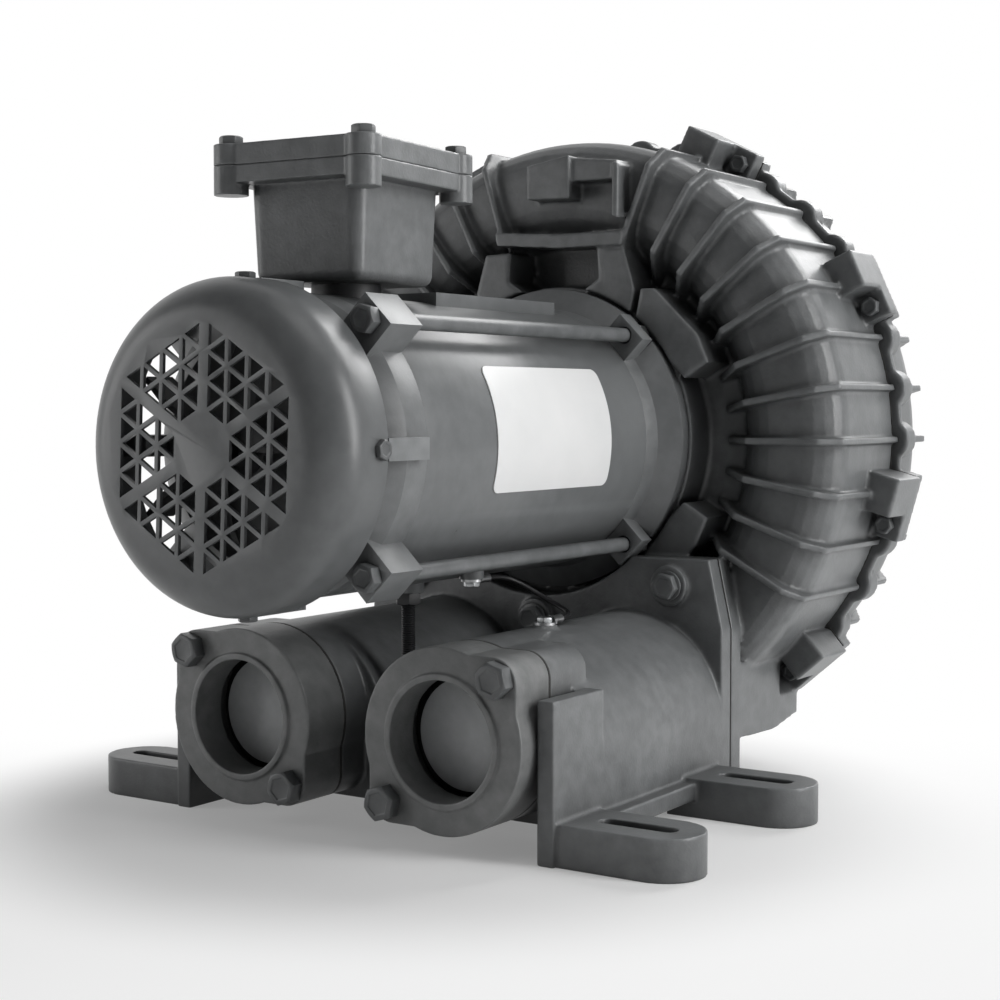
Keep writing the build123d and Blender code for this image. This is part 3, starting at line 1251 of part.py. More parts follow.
def cooling_fan():
    """Moulded fan: hub and straight radial blades for either direction."""
    back = FAN_Y + FAN_LENGTH
    hub = ring(FAN_HUB_R, FAN_STUB_R + SEAT_GAP / 2, FAN_Y + FAN_HUB_STEP, back)
    points = [
        (FAN_HUB_R - MERGE, back),
        (FAN_HUB_R - MERGE, FAN_Y + FAN_TIP_STEP),
        (FAN_R * FAN_MIDDLE, FAN_Y),
        (FAN_R, FAN_Y + FAN_TIP_STEP),
        (FAN_R, back),
    ]
    plate = extrude(make_face(Polyline(*points, close=True)), FAN_BLADE_THICK)
    blade = Pos(0, 0, -FAN_BLADE_THICK / 2) * plate
    hub += around(blade, [360 / FAN_BLADES * step for step in range(FAN_BLADES)])
    return lift(hub)


def fan_clip():
    """Retaining clip that holds the fan on its shaft stub."""
    seat = FAN_Y + FAN_HUB_STEP - CLIP_THICK
    return lift(ring(CLIP_R, FAN_STUB_R, seat, seat + CLIP_THICK))


def box_place(part):
    """Put a piece of the terminal box at its place, turned a little about Z."""
    return Pos(BOX_X, BOX_Y, 0) * (Rot(0, 0, BOX_TURN) * part)


def lid_outline():
    """Square lid outline with a round corner at each bolt."""
    wide, long = LID_BOLT_SPAN
    plate = Rectangle(wide + 2 * (LID_CORNER_R - LID_INSET), long + 2 * (LID_CORNER_R - LID_INSET))
    for x, y in lid_bolt_places():
        plate += Pos(x, y) * Circle(LID_CORNER_R)
    return plate


def lid_bolt_places():
    """Centres of the four lid bolts about the box axis."""
    wide, long = LID_BOLT_SPAN
    return [(sx * wide / 2, sy * long / 2) for sx in SIDES for sy in SIDES]


def box_lid():
    """Thick flanged lid of the terminal box."""
    lid = upright(lid_outline(), BOX_TOP - LID_THICK, BOX_TOP)
    hole = upright(Circle(LID_BOLT[0] + BOLT_GAP), BOX_TOP - LID_THICK - MERGE, BOX_TOP + MERGE)
    for x, y in lid_bolt_places():
        lid -= Pos(x, y, 0) * hole
    return box_place(lid)


def terminal_box():
    """Cast box with a flanged rim, bolt bosses, tapered walls and conduit hub."""
    wide, long = BOX_WIDTH
    joint = BOX_TOP - LID_THICK
    tall = joint - BOX_BOTTOM
    slope = math.degrees(math.atan2(BOX_TAPER, tall))
    walls = extrude(Plane.XY.offset(joint) * RectangleRounded(wide, long, BOX_ROUND), -tall, taper=slope)
    walls = fillet(walls.faces().sort_by(Axis.Z)[0].edges(), BOX_EDGE_ROUND)
    body = walls + upright(lid_outline(), joint - BOX_FLANGE, joint)
    for x, y in lid_bolt_places():
        body += Pos(x, y, 0) * upright(Circle(LID_CORNER_R), joint - BOX_BOSS, joint)
    hub = Plane.YZ.offset(-wide / 2 - CONDUIT_BOSS) * (Pos(0, conduit_height()) * Circle(CONDUIT_BOSS_R))
    body += extrude(hub, CONDUIT_BOSS + BOX_WALL)
    hollow = RectangleRounded(wide - 2 * BOX_WALL, long - 2 * BOX_WALL, BOX_INNER_ROUND)
    body -= extrude(Plane.XY.offset(joint + MERGE) * hollow, -(tall - BOX_WALL + MERGE), taper=slope)
    body -= upright(Circle(NIPPLE_NECK_R + SEAT_GAP), BOX_BOTTOM - MERGE, BOX_BOTTOM + BOX_WALL + MERGE)
    bore = Plane.YZ.offset(-wide / 2 - CONDUIT_BOSS - MERGE) * (Pos(0, conduit_height()) * Circle(CONDUIT_R))
    body -= extrude(bore, CONDUIT_BOSS + 2 * BOX_WALL)
    hole = upright(Circle(LID_BOLT[0] + SEAT_GAP), joint - BOX_BOSS + 2 * MERGE, joint + MERGE)
    for x, y in lid_bolt_places():
        body -= Pos(x, y, 0) * hole
    return box_place(body)


def conduit_height():
    """Height of the conduit entry above the floor."""
    return BOX_BOTTOM + BOX_WALL + CONDUIT_BOSS_R


def lid_bolts():
    """Four bolts of the box lid."""
    shank, flats, head = LID_BOLT
    bolt = upright(hexagon(flats), BOX_TOP, BOX_TOP + head)
    bolt += upright(Circle(shank), BOX_TOP - LID_THICK - BOX_BOSS + 4 * MERGE, BOX_TOP)
    return [box_place(Pos(x, y, 0) * bolt) for x, y in lid_bolt_places()]


def box_nipple():
    """Short neck that carries the box on the motor and leads the wires in."""
    foot_z = AXIS_HEIGHT + math.sqrt(SHELL_BORE_R**2 - NIPPLE_R**2) + 1.0
    collar = upright(Circle(NIPPLE_R), foot_z, BOX_BOTTOM)
    neck = upright(Circle(NIPPLE_NECK_R), BOX_BOTTOM, BOX_BOTTOM + NIPPLE_RISE)
    bore = upright(Circle(NIPPLE_BORE), foot_z - MERGE, BOX_BOTTOM + NIPPLE_RISE + MERGE)
    return Pos(BOX_X, BOX_Y, 0) * (collar + neck - bore)


def nipple_nut():
    """Flat nut that clamps the box onto its neck."""
    start = BOX_BOTTOM + BOX_WALL
    nut = upright(hexagon(NIPPLE_NUT_FLATS), start, start + NIPPLE_NUT)
    nut -= upright(Circle(NIPPLE_NECK_R + SEAT_GAP), start - MERGE, start + NIPPLE_NUT + MERGE)
    return box_place(nut)


def terminal_block():
    """Moulded block with a row of terminals, on the back wall of the box."""
    wide, long, high = TERMINAL_BLOCK
    back = BOX_WIDTH[1] / 2 - BOX_WALL - BOX_TAPER - BOLT_GAP
    start = BOX_BOTTOM + BOX_WALL
    block = Pos(0, back - long / 2, 0) * upright(Rectangle(wide, long), start, start + high)
    for step in range(TERMINALS + 1):
        place = Pos((step - TERMINALS / 2) * TERMINAL_PITCH, back - long / 2, 0)
        rib = Rectangle(TERMINAL_RIB[0], long)
        block += place * upright(rib, start + high - MERGE, start + high + TERMINAL_RIB[1])
    for x in terminal_places():
        hole = upright(Circle(TERMINAL_SCREW_R + SEAT_GAP), start + high - TERMINAL_TAP, start + high + MERGE)
        block -= Pos(x, back - long / 2, 0) * hole
    return box_place(block)


def terminal_places():
    """Positions of the terminals along the block."""
    return [(step - (TERMINALS - 1) / 2) * TERMINAL_PITCH for step in range(TERMINALS)]


def terminal_screws():
    """Screws of the terminal block."""
    wide, long, high = TERMINAL_BLOCK
    back = BOX_WIDTH[1] / 2 - BOX_WALL - BOX_TAPER - BOLT_GAP
    top = BOX_BOTTOM + BOX_WALL + high
    screw = upright(Circle(TERMINAL_SCREW_R), top - TERMINAL_TAP + MERGE, top)
    screw += upright(Circle(2 * TERMINAL_SCREW_R), top, top + TERMINAL_SCREW_R)
    return [box_place(Pos(x, back - long / 2, 0) * screw) for x in terminal_places()]


def support_stud():
    """Threaded stud between the bridge of the base and the motor frame."""
    low = BRIDGE_TOP - BRIDGE_THICK
    high = AXIS_HEIGHT - SHELL_R - STUD_BOSS
    return Pos(0, BRIDGE_Y, 0) * upright(Circle(STUD_R), low, high)


def stud_nuts():
    """Lock nuts at both ends of the support stud."""
    high = AXIS_HEIGHT - SHELL_R - STUD_BOSS
    nuts = []
    for z in (BRIDGE_TOP, high - STUD_NUT):
        nut = upright(hexagon(STUD_NUT_FLATS), z, z + STUD_NUT)
        nut -= upright(Circle(STUD_R + SEAT_GAP), z - MERGE, z + STUD_NUT + MERGE)
        nuts.append(Pos(0, BRIDGE_Y, 0) * nut)
    return nuts


def lead_points():
    """Places of the bonding lead's centre line from the upper to the lower lug."""
    x, y, z = LEAD_TOP
    run = LEAD_LOW[0] - x
    drop = LEAD_LOW_Z + LEAD_LIFT[1] - z - LEAD_LIFT[0]
    top = z + LEAD_LIFT[0]
    return [(x + share * run, y + offset, top + down * drop) for share, offset, down in LEAD_ROUTE]


def lead_path():
    """Centre line of the bonding lead: straight runs joined by large arcs."""
    points = [Vector(*place) for place in lead_points()]
    radii = []
    for before, here, after in zip(points, points[1:], points[2:]):
        turn = math.radians((here - before).get_angle(after - here))
        run = min((here - before).length, (after - here).length)
        radii.append(LEAD_BEND * run / math.tan(turn / 2))
    return FilletPolyline(*points, radius=radii)


def bonding_lead():
    """Thin earth lead from the motor frame to the base."""
    path = lead_path()
    start = Plane(origin=path @ 0, z_dir=path % 0)
    return sweep(start * Circle(LEAD_R), path=path)


def lead_lug(place, end, upward):
    """Ring terminal with its barrel reaching along Y to the end of the lead."""
    x, y, z = place
    low, high = (z, z + LEAD_LUG_THICK) if upward else (z - LEAD_LUG_THICK, z)
    tail = LEAD_BOSS_R + 2 * MERGE
    blade = Circle(LEAD_LUG_R) + Pos(0, tail / 2) * Rectangle(2 * LEAD_BARREL_R, tail)
    blade -= Circle(LEAD_SCREW[0] + SEAT_GAP)
    lug = Pos(x, y, 0) * upright(blade, low, high)
    return lug + bar(LEAD_BARREL_R, y + LEAD_BOSS_R + MERGE / 2, end[1], x, end[2])


def bonding_lugs():
    """The two ring terminals of the bonding lead."""
    first, *_, last = lead_points()
    return [lead_lug(LEAD_TOP, first, False), lead_lug(LEAD_LOW, last, True)]


def bonding_screws():
    """Screws that hold the two terminals."""
    shank, flats, head = LEAD_SCREW
    x, y, z = LEAD_TOP
    seat = z - LEAD_LUG_THICK
    top = upright(Circle(shank), seat, z + LEAD_SCREW_DEPTH - 4 * MERGE)
    top += upright(hexagon(flats), seat - head, seat)
    low_x, low_y, low_z = LEAD_LOW
    seat = low_z + LEAD_LUG_THICK
    low = upright(Circle(shank), low_z - LEAD_SCREW_DEPTH, seat) + upright(hexagon(flats), seat, seat + head)
    return [Pos(x, y, 0) * top, Pos(low_x, low_y, 0) * low]


def build():
    """Build every node and write it."""
    os.makedirs("parts", exist_ok=True)
    save("manifold", manifold())
    for side, name in zip(SIDES, ("left", "right")):
        save(f"port_flange_{name}", port_flange(side))
        save(f"port_gasket_{name}", port_gasket(side))
        save(f"silencer_liner_{name}", silencer_liner(side))
        save(f"silencer_tube_{name}", silencer_tube(side))
    save("port_bolts", *port_bolts())
    save("base_gasket", base_gasket())
    save("base_bolts", *base_bolts())
    save("blower_housing", blower_housing())
    save("rear_cover", rear_cover())
    save("cover_gasket", cover_gasket())
    save("cover_bolts", *cover_bolts())
    save("impeller", impeller())
    save("impeller_key", lift(key_block()))
    save("impeller_washer", impeller_washer())
    save("impeller_bolt", impeller_bolt())
    save("shaft", shaft())
    save("shaft_seal", shaft_seal())
    bearings = (("fan_end", FAN_BEARING, FAN_BEARING_Y), ("drive_end", DRIVE_BEARING, DRIVE_BEARING_Y))
    for name, size, y in bearings:
        outer, inner, balls = bearing(size, y)
        save(f"{name}_bearing_outer_race", outer)
        save(f"{name}_bearing_inner_race", inner)
        save(f"{name}_bearing_balls", *balls)
    save("rotor_core", rotor_core())
    save("rotor_end_rings", *rotor_rings())
    save("stator_core", stator_core())
    save("windings", *windings())
    save("motor_shell", motor_shell())
    save("fan_end_bracket", fan_end_bracket())
    save("drive_end_bracket", drive_end_bracket())
    save("through_bolts", *through_bolts())
    save("through_bolt_nuts", *through_nuts())
    save("motor_bolts", *motor_bolts())
    save("wave_washer", wave_washer())
    save("label_plate", label())
    save("fan_cover", fan_cover())
    save("fan_cover_screws", *cover_screws())
    save("cooling_fan", cooling_fan())
    save("fan_clip", fan_clip())
    save("terminal_box", terminal_box())
    save("terminal_box_lid", box_lid())
    save("lid_bolts", *lid_bolts())
    save("box_nipple", box_nipple())
    save("nipple_nut", nipple_nut())
    save("terminal_block", terminal_block())
    save("terminal_screws", *terminal_screws())
    save("bonding_lead", bonding_lead())
    save("bonding_lugs", *bonding_lugs())
    save("bonding_screws", *bonding_screws())
    save("support_stud", support_stud())
    save("stud_nuts", *stud_nuts())


build()
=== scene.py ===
import logging
import math
from dataclasses import dataclass, field
from enum import Enum
from typing import Any, Callable, Sequence

import bpy
from mathutils import Matrix, Vector


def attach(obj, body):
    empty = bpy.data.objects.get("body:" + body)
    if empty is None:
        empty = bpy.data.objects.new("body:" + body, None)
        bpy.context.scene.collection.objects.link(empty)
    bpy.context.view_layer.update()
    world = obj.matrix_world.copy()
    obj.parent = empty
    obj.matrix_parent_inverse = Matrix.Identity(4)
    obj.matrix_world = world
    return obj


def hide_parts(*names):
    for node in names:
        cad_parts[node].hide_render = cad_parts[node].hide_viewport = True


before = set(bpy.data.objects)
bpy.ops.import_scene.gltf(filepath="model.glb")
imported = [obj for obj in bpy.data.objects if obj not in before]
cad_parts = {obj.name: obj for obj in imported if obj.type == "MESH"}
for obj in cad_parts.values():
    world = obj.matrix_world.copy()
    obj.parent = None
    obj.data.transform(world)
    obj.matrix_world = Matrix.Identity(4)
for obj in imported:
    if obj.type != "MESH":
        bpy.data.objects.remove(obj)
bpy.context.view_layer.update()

# Side channel blower: cast and drawn surfaces, fasteners, label, studio floor and camera.
# All sizes are in millimetres unless a name says otherwise. X runs across the two ports,
# Y along the motor axis from the fan to the ring housing, Z is up from the floor.

log = logging.getLogger("blower")

MM = 0.001
AXIS_Z = 211.0

Point = tuple[float, float, float]
# Seat point, direction of the model's +Z, and turn about it in degrees.
Place = tuple[Point, Point, float]

TO_FAN: Point = (0.0, -1.0, 0.0)
TO_RING: Point = (0.0, 1.0, 0.0)
UP: Point = (0.0, 0.0, 1.0)
DOWN: Point = (0.0, 0.0, -1.0)

# Noise values at which a finish shows its darker and its paler colour.
ENAMEL_TONES = (0.12, 0.42)
METAL_TONES = (0.3, 0.75)
STOCK_TONES = (0.3, 0.7)
# How far the roughness drifts below and above its mean.
ENAMEL_SHEEN = (0.06, 0.08)
METAL_SHEEN = (0.08, 0.1)
# Openness of a corner from full painted shade to none, and sharpness of an edge from whole to rubbed.
PAINTED_SHADE_REACH = (0.15, 0.9)
RUB_REACH = (0.52, 0.6)
# Rays that gauge how enclosed a corner is, for the painted shade.
PAINTED_SHADE_RAYS = 6
SPOT_SIZE = 9.0
METAL_SPOT_SIZE = 12.0
COAT_IOR = 1.5

MERGE_M = 0.00001
FLAT_ANGLE = 1.5

# Hexagon fasteners: share of the width across flats that the turned face takes, and its slope.
TURNED_SHARE = 0.47
CHAMFER_SLOPE = 30
FACING_UP = 0.9
THREAD_ROOT = 0.86


class Body(Enum):
    """Bodies of the frame that a piece rides on."""

    MACHINE = "machine"


class Slot(Enum):
    """Material slots of the record that the pieces fill."""

    CASTING = "casting_enamel"
    FLANGE = "flange_enamel"
    FRAME = "frame_enamel"
    COVER = "cover_enamel"
    FASTENER = "dark_fasteners"
    PLATED = "plated_steel"
    LABEL = "label_white"
    LEAD = "lead_sleeve"
    LUG = "lug_metal"


def linear(code: str) -> tuple[float, float, float, float]:
    """Turn an sRGB hex colour into linear RGBA.

    Args:
        code: Six hex digits.

    Returns:
        Linear red, green, blue and an alpha of one.
    """
    parts = [int(code[i:i + 2], 16) / 255 for i in (0, 2, 4)]
    red, green, blue = (c / 12.92 if c <= 0.04045 else ((c + 0.055) / 1.055) ** 2.4 for c in parts)
    return red, green, blue, 1.0


def add_node(
    tree: bpy.types.NodeTree, kind: str, links: dict[Any, Any] | None = None, **settings: Any,
) -> Any:
    """Add one node with its settings, socket values and incoming links.

    Args:
        tree: Node tree that takes the node.
        kind: Node type name.
        links: Socket name or index to the output socket that feeds it.
        settings: Node properties, or socket values under the socket's name with underscores.

    Returns:
        The new node.
    """
    node = tree.nodes.new(kind)
    for key, value in settings.items():
        if hasattr(node, key):
            setattr(node, key, value)
        else:
            node.inputs[key.replace("_", " ")].default_value = value
    for socket, source in (links or {}).items():
        tree.links.new(source, node.inputs[socket])
    return node


def new_material(name: str) -> tuple[bpy.types.Material, bpy.types.NodeTree, Any]:
    """Start an empty node material.

    Args:
        name: Name of the finish.

    Returns:
        The material, its tree and the Object coordinate output.
    """
    material = bpy.data.materials.new(name)
    material.use_nodes = True
    tree = material.node_tree
    tree.nodes.clear()
    place = add_node(tree, "ShaderNodeTexCoord").outputs["Object"]
    return material, tree, place


@dataclass(frozen=True)
class SprayedEnamel:
    """Grey enamel sprayed on metal: satin, with orange peel and the metal's own grain under it."""

    name: str
    colour: str
    pale: str
    roughness: float = 0.42
    grain: float = 1.4
    grain_depth: float = 0.05
    peel: float = 5.0
    peel_depth: float = 0.05
    patch: float = 70.0
    # Reach of the painted shade into corners and valleys in mm, and how much darker it makes the deepest of
    # them.
    hollow: float = 30.0
    painted_shade: float = 0.55
    rub: float = 0.25

    def build(self) -> bpy.types.Material:
        """Make the material.

        Returns:
            Enamel whose tone drifts a little, with painted shade in its corners, rubbed edges and a fine
            uneven skin.
        """
        material, tree, place = new_material(self.name)
        # Broad drift in tone, as the coat varies in thickness over a casting.
        drift = add_node(
            tree, "ShaderNodeTexNoise", {"Vector": place}, Scale=1000 / self.patch, Detail=4.0)
        spots = add_node(
            tree, "ShaderNodeTexNoise", {"Vector": place}, Scale=1000 / SPOT_SIZE, Detail=6.0)
        blend = add_node(
            tree, "ShaderNodeMath", {0: drift.outputs["Fac"], 1: spots.outputs["Fac"]}, operation="MULTIPLY")
        ramp = add_node(tree, "ShaderNodeValToRGB", {"Fac": blend.outputs[0]})
        for stop, position, code in zip(ramp.color_ramp.elements, ENAMEL_TONES, (self.colour, self.pale)):
            stop.position, stop.color = position, linear(code)
        # Painted shade: corners and valleys are darkened by how enclosed they are. Edges are rubbed a little
        # paler.
        corner = add_node(
            tree, "ShaderNodeAmbientOcclusion", samples=PAINTED_SHADE_RAYS, Distance=self.hollow * MM)
        # Painted shade: the colour is darkened by up to this share where the corner is closed.
        painted_shade = add_node(
            tree, "ShaderNodeMapRange", {"Value": corner.outputs["AO"]},
            From_Min=PAINTED_SHADE_REACH[0], From_Max=PAINTED_SHADE_REACH[1], To_Min=1.0 - self.painted_shade, To_Max=1.0)
        shape = add_node(tree, "ShaderNodeNewGeometry")
        rub = add_node(
            tree, "ShaderNodeMapRange", {"Value": shape.outputs["Pointiness"]},
            From_Min=RUB_REACH[0], From_Max=RUB_REACH[1], To_Min=1.0, To_Max=1.0 + self.rub)
        shade_and_wear = add_node(
            tree, "ShaderNodeMath", {0: painted_shade.outputs["Result"], 1: rub.outputs["Result"]},
            operation="MULTIPLY")
        coat = add_node(
            tree, "ShaderNodeVectorMath", {0: ramp.outputs["Color"], "Scale": shade_and_wear.outputs[0]},
            operation="SCALE")
        # The sheen is duller where the coat went on dry.
        dull = add_node(
            tree, "ShaderNodeMapRange", {"Value": spots.outputs["Fac"]},
            To_Min=self.roughness - ENAMEL_SHEEN[0], To_Max=self.roughness + ENAMEL_SHEEN[1])
        # Sand or rolling grain under the coat, then the softer orange peel of the spray.
        grain = add_node(
            tree, "ShaderNodeTexNoise", {"Vector": place}, Scale=1000 / self.grain, Detail=3.0)
        peel = add_node(
            tree, "ShaderNodeTexNoise", {"Vector": place}, Scale=1000 / self.peel, Detail=2.0)
        bump = add_node(
            tree, "ShaderNodeBump", {"Height": grain.outputs["Fac"]},
            Distance=self.grain_depth * MM, Strength=1.0)
        skin = add_node(
            tree, "ShaderNodeBump", {"Height": peel.outputs["Fac"], "Normal": bump.outputs["Normal"]},
            Distance=self.peel_depth * MM, Strength=1.0)
        shader = add_node(
            tree, "ShaderNodeBsdfPrincipled",
            {"Base Color": coat.outputs["Vector"], "Roughness": dull.outputs["Result"],
             "Normal": skin.outputs["Normal"]},
            IOR=COAT_IOR)
        add_node(tree, "ShaderNodeOutputMaterial", {"Surface": shader.outputs["BSDF"]})
        return material


@dataclass(frozen=True)
class BareMetal:
    """Bare or plated metal with fine machining marks."""

    name: str
    colour: str
    pale: str
    roughness: float = 0.35
    grain: float = 0.8
    grain_depth: float = 0.01

    def build(self) -> bpy.types.Material:
        """Make the material.

        Returns:
            Metal with small changes in tone and sheen.
        """
        material, tree, place = new_material(self.name)
        tone = add_node(
            tree, "ShaderNodeTexNoise", {"Vector": place}, Scale=1000 / METAL_SPOT_SIZE, Detail=5.0)
        ramp = add_node(tree, "ShaderNodeValToRGB", {"Fac": tone.outputs["Fac"]})
        for stop, position, code in zip(ramp.color_ramp.elements, METAL_TONES, (self.colour, self.pale)):
            stop.position, stop.color = position, linear(code)
        dull = add_node(
            tree, "ShaderNodeMapRange", {"Value": tone.outputs["Fac"]},
            To_Min=self.roughness - METAL_SHEEN[0], To_Max=self.roughness + METAL_SHEEN[1])
        marks = add_node(
            tree, "ShaderNodeTexNoise", {"Vector": place}, Scale=1000 / self.grain, Detail=2.0)
        bump = add_node(
            tree, "ShaderNodeBump", {"Height": marks.outputs["Fac"]},
            Distance=self.grain_depth * MM, Strength=1.0)
        shader = add_node(
            tree, "ShaderNodeBsdfPrincipled",
            {"Base Color": ramp.outputs["Color"], "Roughness": dull.outputs["Result"],
             "Normal": bump.outputs["Normal"]},
            Metallic=1.0)
        add_node(tree, "ShaderNodeOutputMaterial", {"Surface": shader.outputs["BSDF"]})
        return material


@dataclass(frozen=True)
class PlainStock:
    """Stock with its own colour all through, such as rubber, plastic, fibre sheet, foam or paper."""

    name: str
    colour: str
    pale: str
    roughness: float = 0.6
    grain: float = 1.0
    grain_depth: float = 0.03
    patch: float = 20.0

    def build(self) -> bpy.types.Material:
        """Make the material.

        Returns:
            Stock with a mottled tone and its own grain.
        """
        material, tree, place = new_material(self.name)
        tone = add_node(
            tree, "ShaderNodeTexNoise", {"Vector": place}, Scale=1000 / self.patch, Detail=5.0)
        ramp = add_node(tree, "ShaderNodeValToRGB", {"Fac": tone.outputs["Fac"]})
        for stop, position, code in zip(ramp.color_ramp.elements, STOCK_TONES, (self.colour, self.pale)):
            stop.position, stop.color = position, linear(code)
        grain = add_node(tree, "ShaderNodeTexVoronoi", {"Vector": place}, Scale=1000 / self.grain)
        bump = add_node(
            tree, "ShaderNodeBump", {"Height": grain.outputs["Distance"]},
            Distance=self.grain_depth * MM, Strength=1.0)
        shader = add_node(
            tree, "ShaderNodeBsdfPrincipled",
            {"Base Color": ramp.outputs["Color"], "Normal": bump.outputs["Normal"]},
            Roughness=self.roughness, IOR=COAT_IOR)
        add_node(tree, "ShaderNodeOutputMaterial", {"Surface": shader.outputs["BSDF"]})
        return material


Finish = SprayedEnamel | BareMetal | PlainStock

# Sand cast aluminium under enamel: a pebbled satin skin, with strong painted shade in its deep corners.
CAST_ENAMEL = SprayedEnamel(
    "sprayed enamel on sand cast aluminium", "656768", "7b7d7e", roughness=0.37, grain=1.5,
    grain_depth=0.12, peel=6.0, peel_depth=0.06, hollow=45.0, painted_shade=0.75)
# Grey iron under enamel: a coarser grain and a duller coat.
IRON_ENAMEL = SprayedEnamel(
    "sprayed enamel on grey cast iron", "686a6a", "818282", roughness=0.44, grain=2.0,
    grain_depth=0.16, peel=7.0, peel_depth=0.08)
# Die cast brackets: a finer skin, so the coat lies flatter.
BRACKET_ENAMEL = SprayedEnamel(
    "sprayed enamel on die cast brackets", "666869", "787a7b", roughness=0.36, grain=1.3, peel=7.0)
# Rolled and drawn sheet: next to no grain, an even tone and long soft highlights.
FRAME_ENAMEL = SprayedEnamel(
    "sprayed enamel on rolled steel", "656768", "727475", roughness=0.3, grain=2.2,
    grain_depth=0.02, peel=8.0, peel_depth=0.03, patch=120.0)
COVER_ENAMEL = SprayedEnamel(
    "sprayed enamel on drawn steel", "5c5e5f", "696b6c", roughness=0.34, grain=2.6,
    grain_depth=0.02, peel=9.0, peel_depth=0.04, patch=120.0)
# The tubes in the ports: a smooth wall whose colour is made paler than the other enamels as painted light, so
# that it reads bright in the shaded mouths.
PAINTED_LIGHT_TUBE_ENAMEL = SprayedEnamel(
    "sprayed enamel on perforated sheet", "a0a2a3", "b0b2b3", roughness=0.45, grain=2.4,
    grain_depth=0.02, peel=9.0, peel_depth=0.04, patch=90.0)
# Bolts: a thin dark coat, with the corners of the hexagon rubbed paler.
BOLT_ENAMEL = SprayedEnamel(
    "thin enamel over steel bolts", "555758", "6a6c6d", roughness=0.36, grain=0.9,
    grain_depth=0.03, peel=2.5, peel_depth=0.02, patch=15.0)
# Bare metals: cool greys with soft highlights. Their marks are drawn coarser than real ones, to show.
TURNED_STEEL = BareMetal("turned steel", "8d8f91", "b4b6b8", roughness=0.28)
PLATED_STEEL = BareMetal("zinc plated steel", "9a9c9d", "b9bbbc", roughness=0.32)
CORE_SHEET = BareMetal(
    "stacked core sheet", "56585b", "6f7174", roughness=0.45, grain=0.6, grain_depth=0.03)
CAST_ALUMINIUM = BareMetal(
    "die cast aluminium", "a3a5a7", "bcbec0", roughness=0.42, grain=1.2, grain_depth=0.03)
TINNED_COPPER = BareMetal("tinned copper", "a9aaab", "c8c9ca")
# Wound wire: warm brown under clear enamel, with the ridges of the turns.
ENAMELLED_COPPER = BareMetal(
    "enamelled copper wire", "7a4022", "9a5a33", roughness=0.4, grain=1.1, grain_depth=0.2)
# Dark stock: near black, told apart by how dull and how rough it is.
BLACKED_STEEL = PlainStock(
    "blacked steel pipe", "17181a", "232426", roughness=0.5, grain=0.8, grain_depth=0.02)
GASKET_SHEET = PlainStock(
    "compressed fibre gasket", "2c2c2b", "3c3b39", roughness=0.8, grain=0.5, grain_depth=0.02)
OPEN_FOAM = PlainStock(
    "open cell foam", "2b2b2c", "3a3a3b", roughness=0.95, grain=1.8, grain_depth=0.5)
SEAL_RUBBER = PlainStock(
    "nitrile rubber", "141415", "1f1f20", roughness=0.55, grain=0.6, grain_depth=0.01)
MOULDED_NYLON = PlainStock(
    "moulded black nylon", "1c1d1e", "27282a", roughness=0.5, grain=0.9, grain_depth=0.02)
MOULDED_BLOCK = PlainStock(
    "moulded thermoset block", "1f1d1c", "2b2927", roughness=0.5, grain=0.9, grain_depth=0.02)
LEAD_SLEEVE = PlainStock("black insulating sleeve", "141415", "202022", roughness=0.45, grain_depth=0.02)
# The blank label: smooth and nearly white, with a light satin coat.
LABEL_STOCK = PlainStock(
    "white coated label", "dedfdf", "e8e8e8", roughness=0.38, grain=2.5, grain_depth=0.004, patch=60.0)

# Finish of every node of the frame, also of those that stay hidden inside.
NODE_FINISHES: dict[str, Finish] = {
    "manifold": CAST_ENAMEL, "port_flange_left": IRON_ENAMEL, "port_flange_right": IRON_ENAMEL,
    "port_gasket_left": GASKET_SHEET, "port_gasket_right": GASKET_SHEET,
    "silencer_liner_left": OPEN_FOAM, "silencer_liner_right": OPEN_FOAM,
    "silencer_tube_left": PAINTED_LIGHT_TUBE_ENAMEL, "silencer_tube_right": PAINTED_LIGHT_TUBE_ENAMEL,
    "port_bolts": BOLT_ENAMEL, "base_gasket": GASKET_SHEET, "base_bolts": BOLT_ENAMEL,
    "blower_housing": CAST_ENAMEL, "rear_cover": CAST_ENAMEL, "cover_gasket": GASKET_SHEET,
    "cover_bolts": BOLT_ENAMEL, "impeller": CAST_ALUMINIUM, "impeller_key": TURNED_STEEL,
    "impeller_washer": PLATED_STEEL, "impeller_bolt": PLATED_STEEL, "shaft": TURNED_STEEL,
    "shaft_seal": SEAL_RUBBER, "fan_end_bearing_outer_race": TURNED_STEEL,
    "fan_end_bearing_inner_race": TURNED_STEEL, "fan_end_bearing_balls": TURNED_STEEL,
    "drive_end_bearing_outer_race": TURNED_STEEL, "drive_end_bearing_inner_race": TURNED_STEEL,
    "drive_end_bearing_balls": TURNED_STEEL, "rotor_core": CORE_SHEET, "rotor_end_rings": CAST_ALUMINIUM,
    "stator_core": CORE_SHEET, "windings": ENAMELLED_COPPER, "motor_shell": FRAME_ENAMEL,
    "fan_end_bracket": BRACKET_ENAMEL, "drive_end_bracket": BRACKET_ENAMEL, "through_bolts": BOLT_ENAMEL,
    "through_bolt_nuts": PLATED_STEEL, "motor_bolts": PLATED_STEEL, "wave_washer": TURNED_STEEL,
    "label_plate": LABEL_STOCK, "fan_cover": COVER_ENAMEL, "fan_cover_screws": BOLT_ENAMEL,
    "cooling_fan": MOULDED_NYLON, "fan_clip": PLATED_STEEL, "terminal_box": CAST_ENAMEL,
    "terminal_box_lid": CAST_ENAMEL, "lid_bolts": BOLT_ENAMEL, "box_nipple": BLACKED_STEEL,
    "nipple_nut": PLATED_STEEL, "terminal_block": MOULDED_BLOCK, "terminal_screws": PLATED_STEEL,
    "bonding_lead": LEAD_SLEEVE, "bonding_lugs": TINNED_COPPER, "bonding_screws": PLATED_STEEL,
    "support_stud": BLACKED_STEEL, "stud_nuts": BLACKED_STEEL,
}


